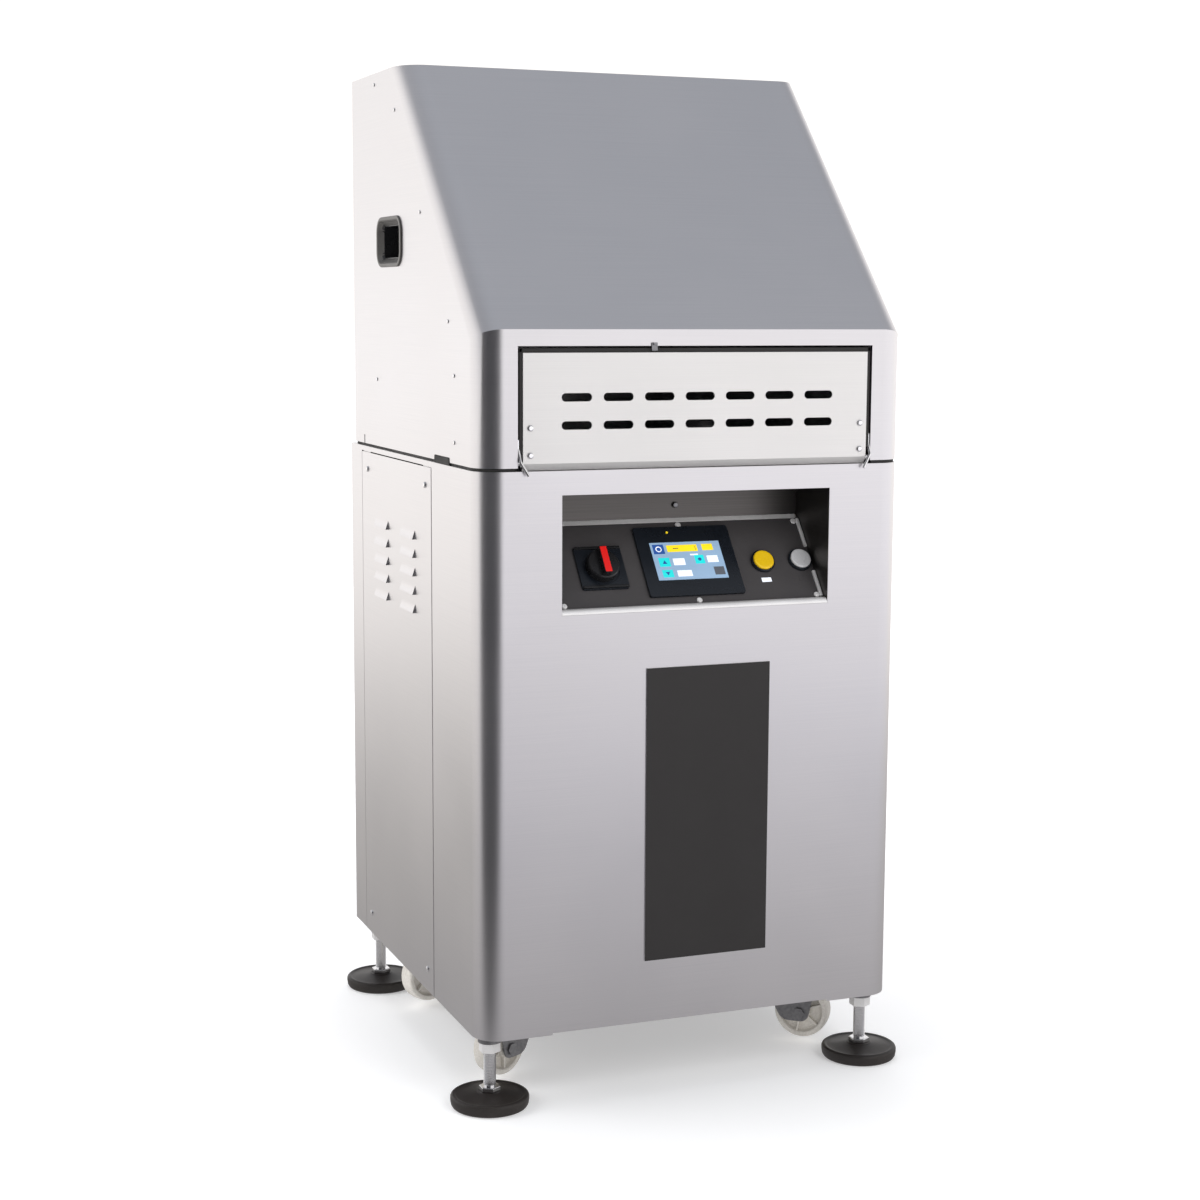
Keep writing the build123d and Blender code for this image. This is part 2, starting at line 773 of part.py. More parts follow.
def frame():
    """Welded angle frame with gussets, foot bosses and uprights."""
    fx = half_w - frame_inset
    fy = half_d - frame_inset
    z0 = frame_z
    ring = slab(-fx, fx, -fy, fy, z0, z0 + angle_w)
    ring -= slab(-fx + angle_t, fx - angle_t, -fy + angle_t, fy - angle_t, z0 + angle_t, z0 + angle_w + 1)
    ring -= slab(-fx + angle_w, fx - angle_w, -fy + angle_w, fy - angle_w, z0 - 1, z0 + angle_w + 1)
    top = deck_z - sheet
    foot = top - top_angle_w
    head = slab(-fx, fx, -fy, fy, foot, top)
    head -= slab(-fx + angle_t, fx - angle_t, -fy + angle_t, fy - angle_t, foot - 1, top - angle_t)
    head -= slab(-fx + top_angle_w, fx - top_angle_w, -fy + top_angle_w, fy - top_angle_w, foot - 1, top + 1)
    body = ring + head
    for sx, sy in corners.values():
        body += corner_angle(sx * fx, sy * fy, z0, top, upright_w, angle_t)
        body += slab(sx * fx, sx * (fx - gusset_w), sy * fy, sy * (fy - gusset_d), z0, z0 + gusset_t)
        body += rod_z(boss_z, boss_top, sx * foot_x, sy * foot_y, boss_r)
    for sx, sy in corners.values():
        body -= rod_z(boss_z - 1, boss_top + 1, sx * foot_x, sy * foot_y, foot_spindle_r + bearing_gap)
    return body


def base_plate():
    """Floor sheet of the machine room."""
    fx = half_w - frame_inset - angle_t - gap
    fy = half_d - frame_inset - angle_t - gap
    z0 = frame_z + gusset_t
    plate = slab(-fx, fx, -fy, fy, z0, z0 + sheet)
    notch = upright_w + gap
    for sx, sy in corners.values():
        plate -= slab(
            sx * fx, sx * (fx - notch), sy * fy, sy * (fy - notch), z0 - 1, z0 + sheet + 1,
        )
        plate -= rod_z(z0 - 1, z0 + sheet + 1, sx * foot_x, sy * foot_y, boss_r + 1)
    return plate - rod_z(z0 - 1, z0 + sheet + 1, drain_x, drain_y, pipe_r + 1)


# ---------------------------------------------------------------- levelling feet
def foot_pad(x, y):
    """Round rubber pad with a low domed top and a socket for the spindle."""
    outline = Polyline([
        (0, 0), (pad_r - 3, 0), (pad_r, 3), (pad_r, 12), (pad_r - 3, 15.5), (26, 17),
        (14, pad_t), (0, pad_t),
    ], close=True)
    pad = revolve(Plane.XZ * make_face(outline), Axis.Z)
    pad -= rod_z(pad_t - stud_len, pad_t + 1, 0, 0, stud_r + 0.1)
    return Pos(x, y, 0) * pad


def foot_spindle(x, y):
    """Threaded spindle with its hexagon collar and the stud that sits in the pad."""
    spindle = rod_z(pad_t, foot_spindle_top, 0, 0, foot_spindle_r)
    spindle = chamfer(spindle.edges().group_by(Axis.Z)[-1], 1.5)
    spindle += Pos(0, 0, pad_t) * extrude(RegularPolygon(nut_af / 2, 6, major_radius=False), hex_collar_t)
    spindle += rod_z(pad_t - stud_len, pad_t, 0, 0, stud_r)
    return Pos(x, y, 0) * spindle


def jam_nut(x, y):
    """Hexagon nut under a foot boss."""
    nut = Pos(x, y, boss_z - nut_t) * extrude(RegularPolygon(nut_af / 2, 6, major_radius=False), nut_t)
    return nut - rod_z(boss_z - nut_t - 1, boss_z + 1, x, y, foot_spindle_r + bearing_gap)


# ---------------------------------------------------------------- casters
def caster_plate(x, y):
    """Top plate of one caster, bolted under the frame's gusset."""
    half_x = caster_plate_w / 2
    half_y = caster_plate_d / 2
    plate = rounded_slab(
        x - half_x, x + half_x, y - half_y, y + half_y, frame_z - caster_plate_t, frame_z, 6, Axis.Z,
    )
    return plate - rod_z(frame_z - 10, frame_z + 1, x, y, axle_r + bearing_gap)


def turned(shape, corner):
    """Place a caster part made with its swivel axis on Z and its trail along +X."""
    sx, sy = corners[corner]
    return Pos(sx * caster_x, sy * caster_y, 0) * Rot(0, 0, caster_yaws[corner]) * shape


def caster_fork(corner):
    """Swivel head, two cheeks and the axle bolt through them."""
    z = fork_top_z
    neck_z = z - fork_head_t
    side = fork_leg_x + cheek_t
    head = rod_z(neck_z, z, 0, 0, fork_head_r)
    head += rod_z(z, frame_z - gap, 0, 0, axle_r)
    head += slab(-fork_front, fork_rear, -side, side, neck_z - cheek_t, neck_z)
    cheek_outline = [
        (-fork_front, neck_z), (fork_rear, neck_z), (caster_trail + 12, axle_z),
        (caster_trail + 7, axle_z - 10), (caster_trail - 7, axle_z - 10), (caster_trail - 13, axle_z + 2),
    ]
    cheek = prism_y(cheek_outline, fork_leg_x, side)
    head += cheek + mirror(cheek, Plane.XZ)
    head -= rod_y(-side - 1, side + 1, caster_trail, axle_z, axle_r + bearing_gap)
    bolt = rod_y(-side, side, caster_trail, axle_z, axle_r)
    for end in (-1, 1):
        face = Pos(caster_trail, end * side, axle_z) * Rot(-90 * end, 0, 0)
        bolt += face * extrude(RegularPolygon(8, 6), 5)
    return Compound(children=[turned(head, corner), turned(bolt, corner)])


def caster_wheel(corner):
    """Moulded wheel with a raised hub."""
    half = wheel_t / 2
    hub = hub_t / 2
    bore = axle_r + bearing_gap
    outline = Polyline([
        (bore, -hub), (13, -hub), (14, -half + 3), (wheel_r - 9, -half + 3), (wheel_r - 7, -half),
        (wheel_r - 2, -half), (wheel_r, -half + 4), (wheel_r, half - 4), (wheel_r - 2, half),
        (wheel_r - 7, half), (wheel_r - 9, half - 3), (14, half - 3), (13, hub), (bore, hub),
    ], close=True)
    wheel = revolve(Plane.XZ * make_face(outline), Axis.Z)
    return turned(Pos(caster_trail, 0, axle_z) * Rot(90, 0, 0) * wheel, corner)


# ---------------------------------------------------------------- water circuit
def tank():
    """Welded basin with a rim on the deck and three spigots underneath."""
    x = tank_w / 2
    outer = rounded_slab(
        -x - sheet, x + sheet, tank_front_y - sheet, tank_back_y + sheet,
        tank_floor_z - sheet, deck_z + sheet, tank_r + sheet, Axis.Z,
    )
    rim = rounded_slab(
        -x - tank_rim, x + tank_rim, tank_front_y - tank_rim, tank_back_y + tank_rim,
        deck_z, deck_z + sheet, tank_r + tank_rim, Axis.Z,
    )
    inner = rounded_slab(-x, x, tank_front_y, tank_back_y, tank_floor_z, deck_z + 10, tank_r, Axis.Z)
    body = outer + rim - inner
    for sx, sy in spigots.values():
        body += rod_z(spigot_z, tank_floor_z - sheet, sx, sy, pipe_r)
    for sx, sy in spigots.values():
        body -= rod_z(spigot_z - 1, tank_floor_z + 1, sx, sy, pipe_r - pipe_wall)
    for hx in (-heater_span, heater_span):
        body -= rod_y(tank_back_y - 5, tank_back_y + 5, hx, heater_z, heater_r + hole_gap)
    return body - rod_x(x - 5, x + 5, probe_y, probe_z, probe_r + hole_gap)


def heating_element():
    """Serpentine sheathed element above the tank floor, with its flange outside the rear wall."""
    y_far = tank_front_y + heater_front
    y_near = tank_back_y - heater_rear
    y_out = tank_back_y + 14
    lane = heater_span / 3
    route = [
        (-heater_span, y_out, heater_z), (-heater_span, y_far, heater_z),
        (-lane, y_far, heater_z), (-lane, y_near, heater_z),
        (lane, y_near, heater_z), (lane, y_far, heater_z),
        (heater_span, y_far, heater_z), (heater_span, y_out, heater_z),
    ]
    path = FilletPolyline(*route, radius=lane * 0.9)
    element = sweep(Plane(origin=route[0], z_dir=(0, -1, 0)) * Circle(heater_r), path=path)
    for x in (-heater_span, heater_span):
        element += rod_y(tank_back_y + sheet, tank_back_y + sheet + 6, x, heater_z, 11)
    return element


def tank_shelf():
    """Perforated shelf on four short legs, over the element."""
    x = tank_w / 2 - shelf_clear
    y0 = tank_front_y + shelf_clear
    y1 = tank_back_y - shelf_clear
    z = tank_floor_z + shelf_lift
    shelf = rounded_slab(-x, x, y0, y1, z, z + shelf_t, tank_r - shelf_clear, Axis.Z)
    for column in range(shelf_columns):
        for row in range(shelf_rows):
            hx = -x + 2 * x * (column + 0.5) / shelf_columns
            hy = y0 + (y1 - y0) * (row + 0.5) / shelf_rows
            shelf -= rod_z(z - 1, z + shelf_t + 1, hx, hy, shelf_hole_r)
    leg_x = x - 16
    for sx in (-1, 1):
        for y in (y0 + tank_r, y1 - tank_r):
            shelf += rod_z(tank_floor_z, z, sx * leg_x, y, shelf_leg_r)
    return shelf


def temperature_probe():
    """Sheathed probe through the tank's side, with a hexagon head outside."""
    x = tank_w / 2
    probe = rod_x(x - probe_in, x + sheet + 12, probe_y, probe_z, probe_r)
    head = Pos(x + sheet, probe_y, probe_z) * Rot(0, 90, 0) * extrude(RegularPolygon(9, 6), 8)
    return probe + head


def pump_housing():
    """Volute with an axial inlet, an upward outlet and room for the impeller."""
    room0 = volute_x0 + volute_wall
    room1 = volute_x1 - volute_wall
    body = rod_x(volute_x0, volute_x1, pump_y, pump_z, volute_r)
    body += rod_x(volute_x0 - inlet_len, volute_x0, pump_y, pump_z, pipe_r)
    body += rod_z(pump_z, outlet_z, return_x, return_y, pipe_r)
    body -= rod_x(room0, room1, pump_y, pump_z, volute_r - volute_wall)
    body -= rod_x(volute_x0 - inlet_len - 1, room0 + 1, pump_y, pump_z, pipe_r - pipe_wall)
    body -= rod_z(pump_z + pipe_r, outlet_z + 1, return_x, return_y, pipe_r - pipe_wall)
    return body - rod_x(room1 - 1, volute_x1 + 1, pump_y, pump_z, axle_r + bearing_gap)


def pump_motor():
    """Motor with its foot on the base plate and a bore for the shaft."""
    x1 = volute_x1 + motor_len
    body = rod_x(volute_x1, x1, pump_y, pump_z, motor_r)
    body += slab(volute_x1 + 20, x1 - 20, pump_y - 36, pump_y + 36, base_top_z, base_top_z + 8)
    body += slab(volute_x1 + 30, x1 - 30, pump_y - 20, pump_y + 20, base_top_z, pump_z)
    return body - rod_x(volute_x1 - 1, volute_x1 + 30, pump_y, pump_z, axle_r + bearing_gap)


def pump_impeller():
    """Impeller disc with eight blades, on its shaft."""
    x = volute_x1 - volute_wall - 3
    rim_r = volute_r - volute_wall - impeller_gap
    wheel = rod_x(x - 4, x, pump_y, pump_z, rim_r)
    for turn in range(impeller_blades):
        blade = slab(x - 16, x - 4, -1.5, 1.5, pipe_r, rim_r - 0.5)
        wheel += Pos(0, pump_y, pump_z) * Rot(turn * 360 / impeller_blades, 0, 0) * blade
    return wheel + rod_x(x - 10, volute_x1 + 28, pump_y, pump_z, axle_r)


def pipe(route, radius):
    """Round pipe along a route of straight runs and bends."""
    start = Vector(*route[0])
    heading = Vector(*route[1]) - start
    path = FilletPolyline(*route, radius=radius) if len(route) > 2 else Line(*route)
    section = Plane(origin=route[0], z_dir=tuple(heading))
    outer = sweep(section * Circle(pipe_r), path=path)
    return outer - sweep(section * Circle(pipe_r - pipe_wall), path=path)


def suction_pipe():
    """Pipe from the tank's floor to the pump's inlet."""
    x, y = spigots["suction"]
    return pipe([(x, y, spigot_z), (x, y, pump_z), (volute_x0 - inlet_len, y, pump_z)], bend_r)


def return_pipe():
    """Pipe from the pump's outlet to the tank's floor."""
    return pipe([(return_x, return_y, outlet_z), (return_x, return_y, spigot_z)], 0)


def drain_valve():
    """Drain pipe with a ball valve under the floor and a spout to the rear."""
    valve = rod_z(drain_top_z, spigot_z, drain_x, drain_y, pipe_r)
    valve += rod_z(drain_foot_z, drain_top_z, drain_x, drain_y, drain_body_r)
    valve += rod_y(drain_y, drain_y + drain_tail_y, drain_x, drain_out_z, drain_tail_r + 2.5)
    valve += rod_y(drain_y, drain_y + drain_tail_y + drain_tail_len, drain_x, drain_out_z, drain_tail_r)
    valve += rod_x(drain_x, drain_x + drain_body_r + 4, drain_y, drain_lever_z, 8)
    valve -= rod_z(drain_lever_z + 12, spigot_z + 1, drain_x, drain_y, pipe_r - pipe_wall)
    tail_end = drain_y + drain_tail_y + drain_tail_len
    valve -= rod_y(drain_y + 20, tail_end + 1, drain_x, drain_out_z, drain_tail_r - 3)
    bore_x = drain_x + drain_body_r - 8
    return valve - rod_x(bore_x, drain_x + drain_body_r + 5, drain_y, drain_lever_z, 4 + bearing_gap)


def drain_lever():
    """Lever of the drain valve, lying level with the valve shut."""
    x = drain_x + drain_body_r + 4 + gap
    lever = slab(x, x + lever_t, drain_y - 7, drain_y + lever_len, drain_lever_z - 6, drain_lever_z + 6)
    lever = fillet(lever.edges().filter_by(Axis.X), 4)
    return lever + rod_x(drain_x + drain_body_r - 6, x + 5, drain_y, drain_lever_z, 4)


def electrical_box():
    """Closed box for the contactors and controller, on the rear panel."""
    z0 = ground_clearance + box_lift
    box = slab(-box_w / 2, box_w / 2, back_y - sheet - box_d, back_y - sheet, z0, z0 + box_h)
    return fillet(box.edges().filter_by(Axis.Y), 4)


# ---------------------------------------------------------------- hood
def hood_block(inset):
    """Solid block of the hood's outside, inset on every side but the bottom."""
    slope_angle = math.atan2(roof_z - crease_z, slope_top_y - front_y)
    roof_back = inset / math.tan((math.pi - slope_angle) / 2)
    outline = [
        (hood_back_y - inset, hood_z - (1 if inset else 0)),
        (hood_back_y - inset, roof_z - inset),
        (slope_top_y + roof_back, roof_z - inset),
        (front_y + inset, crease_z - inset / math.tan((math.pi / 2 + slope_angle) / 2)),
        (front_y + inset, hood_z - (1 if inset else 0)),
    ]
    block = prism_x(outline, -half_w + inset, half_w - inset)
    side_edges = [
        edge
        for edge in block.edges()
        if edge.center().Y < slope_top_y
        and abs(abs(edge.center().X) - (half_w - inset)) < 0.1
        and edge.center().Z > hood_z
    ]
    return fillet(side_edges, corner_r - inset)


def hood_shell():
    """Folded hood: two sides, back, roof, slope and the framed loading mouth."""
    shell = hood_block(0) - hood_block(sheet)
    foot = bay(0, hood_z, hood_z + sheet, hood_back_y)
    foot -= bay(hood_flange, hood_z - 1, hood_z + sheet + 1, hood_back_y - hood_flange)
    shell += foot
    half = mouth_w / 2
    depth = front_y + hood_flange
    jamb = slab(half, half + sheet, front_y + sheet / 2, depth, hood_z, mouth_z + sheet)
    lintel = slab(-half, half, front_y + sheet / 2, depth, mouth_z, mouth_z + sheet)
    shell += jamb + mirror_x(jamb) + lintel
    shell -= slab(-half, half, front_y - 1, depth + 1, hood_z - 1, mouth_z)
    shell -= rest_block_pocket(gap)
    shell -= rod_x(-half - 10, half + 10, pivot_y, pivot_z, pivot_r + bearing_gap)
    slit_y = hood_back_y - rear_slit_from_back
    shell -= slab(-half_w - 1, half_w + 1, slit_y - rear_slit_w, slit_y, hood_z - 1, hood_z + rear_slit_h)
    shell -= cup_block(cup_rim - 1, -half_w - 1, half_w + 1)
    for seat in rivet_seats:
        hole = seat * Cylinder(rivet_shank_r + 0.1, 20)
        shell -= hole
        shell -= mirror_x(hole)
    return shell


def hood_rivets():
    """Dome rivets on the hood's sides."""
    rivets = []
    for seat in rivet_seats:
        placed = seat * rivet()
        rivets += [placed, mirror_x(placed)]
    return Compound(children=rivets)


def cup_block(inset, x0, x1):
    """Block of a handle cup's outline along X, inset on every side."""
    half_y = cup_w / 2 - inset
    half_z = cup_h / 2 - inset
    block = slab(x0, x1, cup_y - half_y, cup_y + half_y, cup_z - half_z, cup_z + half_z)
    return fillet(block.edges().filter_by(Axis.X), cup_r - inset)


def handle_cup():
    """Recessed grip let into the hood's left side: lip, sloping throat and a deep pocket."""
    x = -half_w
    lip = cup_block(0, x - cup_lip_t, x)
    lip = fillet(lip.faces().sort_by(Axis.X)[0].edges(), 1.8)
    body = cup_block(cup_rim, x, x + cup_d)
    pocket = rounded_slab(
        x - 5, x + cup_d - cup_wall, cup_y - cup_hole_w / 2, cup_y + cup_hole_w / 2,
        cup_z - cup_hole_h / 2, cup_z + cup_hole_h / 2, 6, Axis.X,
    )
    mouth = Plane(origin=(x - cup_lip_t, cup_y, cup_z), x_dir=(0, 1, 0), z_dir=(1, 0, 0))
    throat = extrude(
        mouth * RectangleRounded(cup_w - 12, cup_h - 9, cup_r - 6), amount=8, taper=42,
    )
    return lip + body - pocket - throat


# ---------------------------------------------------------------- flap
def flap():
    """Slotted flap with folded edges and an inward sloping lower lip."""
    half = flap_w / 2
    z0 = pivot_z
    face = slab(-half, half, front_y, front_y + sheet, z0, flap_top_z)
    side = slab(half - sheet, half, front_y, front_y + flap_return, z0, flap_top_z)
    top = slab(-half, half, front_y, front_y + flap_return, flap_top_z - sheet, flap_top_z)
    lip_foot = (pivot_y - sheet, z0 - lip_drop)
    lip_outline = [
        (front_y, z0), lip_foot, (lip_foot[0] + sheet * 1.3, lip_foot[1]), (front_y + sheet * 1.3, z0),
    ]
    lip = prism_x(lip_outline, -half, half)
    body = face + side + mirror_x(side) + top + lip
    for row_z in slot_row_zs:
        for column in range(slot_columns):
            x = (column - (slot_columns - 1) / 2) * slot_pitch
            body -= rounded_slab(
                x - slot_w / 2, x + slot_w / 2, front_y - 5, front_y + 5,
                hood_z + row_z - slot_h / 2, hood_z + row_z + slot_h / 2, slot_h / 2 - 0.05, Axis.Y,
            )
    for seat in flap_seats:
        body -= seat * screw_hole()
    return body


def flap_screws():
    """Four small dome-head screws on the flap's face."""
    return Compound(children=[seat * screw() for seat in flap_seats])


def flap_pins():
    """Pivot pins on the flap's folded ends."""
    x = flap_w / 2
    pin = rod_x(x, mouth_w / 2 + sheet + 1, pivot_y, pivot_z, pivot_r)
    pin += rod_x(x, x + pin_collar_t, pivot_y, pivot_z, pin_collar_r)
    return both_sides(pin)


def flap_stops():
    """Bent wire stops on the mouth's jambs that catch the open flap."""
    x = mouth_w / 2 - 2.0
    route = [
        (x, front_y + 5, hood_z + 26), (x, front_y - 3, hood_z + 8), (x - 10, front_y - 6, deck_z - 5),
    ]
    path = FilletPolyline(*route, radius=4)
    heading = Vector(*route[1]) - Vector(*route[0])
    stop = sweep(Plane(origin=route[0], z_dir=tuple(heading)) * Circle(stop_wire_r), path=path)
    stop += slab(x, mouth_w / 2, front_y + 2, front_y + 10, hood_z + 20, hood_z + 34)
    return both_sides(stop)


# ---------------------------------------------------------------- rear hinge
def hinge_fixed_leaves():
    """Cabinet leaves of the two hinges, each with its middle knuckle."""
    leaves = []
    for x in (-hinge_x, hinge_x):
        leaf = slab(
            x - hinge_half, x + hinge_half, hinge_y + hinge_r + 1, back_y - 2, deck_z, deck_z + leaf_t,
        )
        leaf += slab(x - knuckle_half, x + knuckle_half, hinge_y, back_y - 4, deck_z, deck_z + leaf_t)
        leaf += rod_x(x - knuckle_half, x + knuckle_half, hinge_y, hinge_axis_z, hinge_r)
        leaf -= rod_x(x - hinge_half, x + hinge_half, hinge_y, hinge_axis_z, hinge_pin_r + bearing_gap)
        leaves.append(Part() + leaf)
    return Compound(children=leaves)


def hinge_moving_leaves():
    """Hood leaves of the two hinges, each with its outer knuckles and pin."""
    leaves = []
    for x in (-hinge_x, hinge_x):
        leaf = slab(
            x - hinge_half, x + hinge_half, hood_back_y, hood_back_y + leaf_t,
            hinge_axis_z + hinge_r + 1, hinge_axis_z + leaf_h,
        )
        for side in (-1, 1):
            x0 = x + side * (knuckle_half + knuckle_gap)
            x1 = x + side * hinge_half
            leaf += rod_x(x0, x1, hinge_y, hinge_axis_z, hinge_r)
            leaf += slab(x0, x1, hood_back_y, hinge_y, hinge_axis_z, hinge_axis_z + hinge_r)
            leaf += slab(x0, x1, hood_back_y, hood_back_y + leaf_t, hinge_axis_z, hinge_axis_z + 20)
        leaf += rod_x(x - hinge_half, x + hinge_half, hinge_y, hinge_axis_z, hinge_pin_r)
        leaves.append(Part() + leaf)
    return Compound(children=leaves)


# ---------------------------------------------------------------- write every node
nodes = {
    "frame": frame(),
    "cabinet_shell": cabinet_shell(),
    "side_panel_left": side_panel(),
    "side_panel_right": mirror_x(side_panel()),
    "rear_panel": rear_panel(),
    "base_plate": base_plate(),
    "top_deck": top_deck(),
    "hood_gasket": hood_gasket(),
    "hood_rest_blocks": hood_rest_blocks(),
    "front_trim_panel": front_trim_panel(),
    "control_niche": control_niche(),
    "fascia_plate": fascia_plate(),
    "display_bezel": display_bezel(),
    "display_screen": display_screen(),
    "switch_plate": switch_plate(),
    "switch_knob": switch_knob(),
    "button_collars": Compound(children=[button_collar(x) for x in button_xs.values()]),
    "contact_blocks": Compound(children=[switch_block()] + [button_block(x) for x in button_xs.values()]),
    "panel_screws": panel_screws(),
    "cable_gland": cable_gland(),
    "tank": tank(),
    "tank_shelf": tank_shelf(),
    "heating_element": heating_element(),
    "temperature_probe": temperature_probe(),
    "pump_housing": pump_housing(),
    "pump_motor": pump_motor(),
    "pump_impeller": pump_impeller(),
    "pump_pipes": Compound(children=[suction_pipe(), return_pipe()]),
    "drain_valve": drain_valve(),
    "drain_lever": drain_lever(),
    "electrical_box": electrical_box(),
    "hinge_fixed_leaves": hinge_fixed_leaves(),
    "hinge_moving_leaves": hinge_moving_leaves(),
    "hood_shell": hood_shell(),
    "hood_rivets": hood_rivets(),
    "handle_cups": both_sides(handle_cup()),
    "flap": flap(),
    "flap_screws": flap_screws(),
    "flap_pins": flap_pins(),
    "flap_stops": flap_stops(),
}
for name, x in button_xs.items():
    nodes[name] = push_button(x)
for corner, (sx, sy) in corners.items():
    nodes["foot_pad_" + corner] = foot_pad(sx * foot_x, sy * foot_y)
    nodes["foot_spindle_" + corner] = foot_spindle(sx * foot_x, sy * foot_y)
    nodes["caster_fork_" + corner] = caster_fork(corner)
    nodes["caster_wheel_" + corner] = caster_wheel(corner)
nodes["jam_nuts"] = Compound(children=[jam_nut(sx * foot_x, sy * foot_y) for sx, sy in corners.values()])
nodes["caster_plates"] = Compound(
    children=[caster_plate(sx * caster_x, sy * caster_y) for sx, sy in corners.values()]
)
for name, shape in nodes.items():
    save(shape, name)
print(len(nodes), "nodes")
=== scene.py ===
# %% [markdown]
# # A heated water bath on feet and casters
# The object is a tall sheet-steel cabinet with a basin in its top, a sloped hood that tips back, a slotted
# loading flap, and a recessed, sloped panel of controls. The engineering model gives every part, its size
# and the way it moves. This lesson gives it the surfaces, rounded folds and small fittings that the eye
# looks for.

# %% Load the frame
import json
import math

import bpy
from mathutils import Matrix, Vector


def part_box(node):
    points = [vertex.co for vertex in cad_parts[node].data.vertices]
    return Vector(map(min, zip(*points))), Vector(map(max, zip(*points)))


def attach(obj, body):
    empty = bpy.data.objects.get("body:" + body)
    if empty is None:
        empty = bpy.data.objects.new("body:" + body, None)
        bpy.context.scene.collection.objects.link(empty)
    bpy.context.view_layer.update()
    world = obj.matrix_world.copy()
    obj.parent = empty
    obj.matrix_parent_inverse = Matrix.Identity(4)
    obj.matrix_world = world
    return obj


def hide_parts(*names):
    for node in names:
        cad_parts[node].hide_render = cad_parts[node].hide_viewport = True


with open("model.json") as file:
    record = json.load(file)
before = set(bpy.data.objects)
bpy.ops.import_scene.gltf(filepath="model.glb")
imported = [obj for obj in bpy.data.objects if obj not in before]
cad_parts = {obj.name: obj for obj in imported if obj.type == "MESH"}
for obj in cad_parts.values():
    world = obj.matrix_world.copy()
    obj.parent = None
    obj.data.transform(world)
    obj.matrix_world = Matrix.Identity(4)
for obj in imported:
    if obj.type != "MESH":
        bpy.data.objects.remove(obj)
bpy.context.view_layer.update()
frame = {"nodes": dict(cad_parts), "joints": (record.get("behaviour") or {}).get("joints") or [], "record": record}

MM = 0.001
UP = Vector((0, 0, 1))

# %% [markdown]
# ## Working by hand, in code
# Every operator works on what is selected, so the first helper leaves one object selected. A block and a
# round bar are the two primitives that most pieces start from, each added at its real size and place.


# %% Selecting and adding
def only(piece):
    """Leave one object selected and active."""
    bpy.ops.object.select_all(action="DESELECT")
    piece.select_set(True)
    bpy.context.view_layer.objects.active = piece


def block(name, low, high):
    """Cube between two corners, in metres."""
    low = Vector(low)
    high = Vector(high)
    bpy.ops.object.select_all(action="DESELECT")
    bpy.ops.mesh.primitive_cube_add(size=1, location=(low + high) / 2, scale=high - low)
    bpy.ops.object.transform_apply()
    bpy.context.object.name = name
    return bpy.context.object


def bar(name, start, end, radius, sides=48):
    """Round or many-sided bar between two points."""
    start = Vector(start)
    end = Vector(end)
    turn = UP.rotation_difference(end - start).to_euler()
    bpy.ops.object.select_all(action="DESELECT")
    bpy.ops.mesh.primitive_cylinder_add(
        vertices=sides, radius=radius, depth=(end - start).length, location=(start + end) / 2, rotation=turn,
    )
    bpy.ops.object.transform_apply()
    bpy.context.object.name = name
    return bpy.context.object


# %% [markdown]
# ## Edit mode on chosen faces and edges
# By hand one clicks the faces. In code they are found by where they are and which way they point, so a test
# on a place and a direction stands in for the mouse.


# %% Picking faces and edges
def pick(piece, kind, test):
    """Open a piece in edit mode with the faces or edges that pass a test of place and direction."""
    only(piece)
    bpy.ops.object.mode_set(mode="EDIT")
    bpy.ops.mesh.select_mode(type=kind)
    bpy.ops.mesh.select_all(action="DESELECT")
    bpy.ops.object.mode_set(mode="OBJECT")
    mesh = piece.data
    if kind == "FACE":
        for face in mesh.polygons:
            face.select = test(face.center, face.normal)
    else:
        for edge in mesh.edges:
            a, b = (mesh.vertices[i].co for i in edge.vertices)
            edge.select = test((a + b) / 2, (b - a).normalized())
    bpy.ops.object.mode_set(mode="EDIT")


def done():
    """Leave edit mode."""
    bpy.ops.object.mode_set(mode="OBJECT")


def apply_modifier(piece, kind, **settings):
    """Add a modifier with these settings and apply it."""
    modifier = piece.modifiers.new("step", kind)
    for name, value in settings.items():
        setattr(modifier, name, value)
    only(piece)
    bpy.ops.object.modifier_apply(modifier=modifier.name)


def merged(name, pieces):
    """Join several objects into one."""
    only(pieces[0])
    for other in pieces[1:]:
        other.select_set(True)
    bpy.ops.object.join()
    pieces[0].name = name
    return pieces[0]


def combine(piece, tool, operation):
    """Cut a tool out of a piece, or weld it on."""
    apply_modifier(piece, "BOOLEAN", operation=operation, solver="EXACT", object=tool)
    bpy.data.objects.remove(tool)


SMOOTH = math.radians(32)


def soften(piece, width, segments=2):
    """Round every sharp edge a little, and shade what is nearly flat as one surface."""
    apply_modifier(
        piece, "BEVEL", width=width, segments=segments, limit_method="ANGLE", angle_limit=SMOOTH,
        use_clamp_overlap=True, miter_outer="MITER_ARC",
    )
    only(piece)
    bpy.ops.object.shade_smooth_by_angle(angle=SMOOTH)
    apply_modifier(piece, "WEIGHTED_NORMAL", weight=100, keep_sharp=True)


def turned(piece, matrix):
    """Move and turn a piece, and leave its object at the origin."""
    piece.matrix_world = matrix
    only(piece)
    bpy.ops.object.transform_apply()
    return piece


# %% [markdown]
# ## Turned pieces
# Pads, wheels, caps and spindles are round. One point is drawn out along half of the section, and the line
# is spun about the axis, as a lathe would do it.


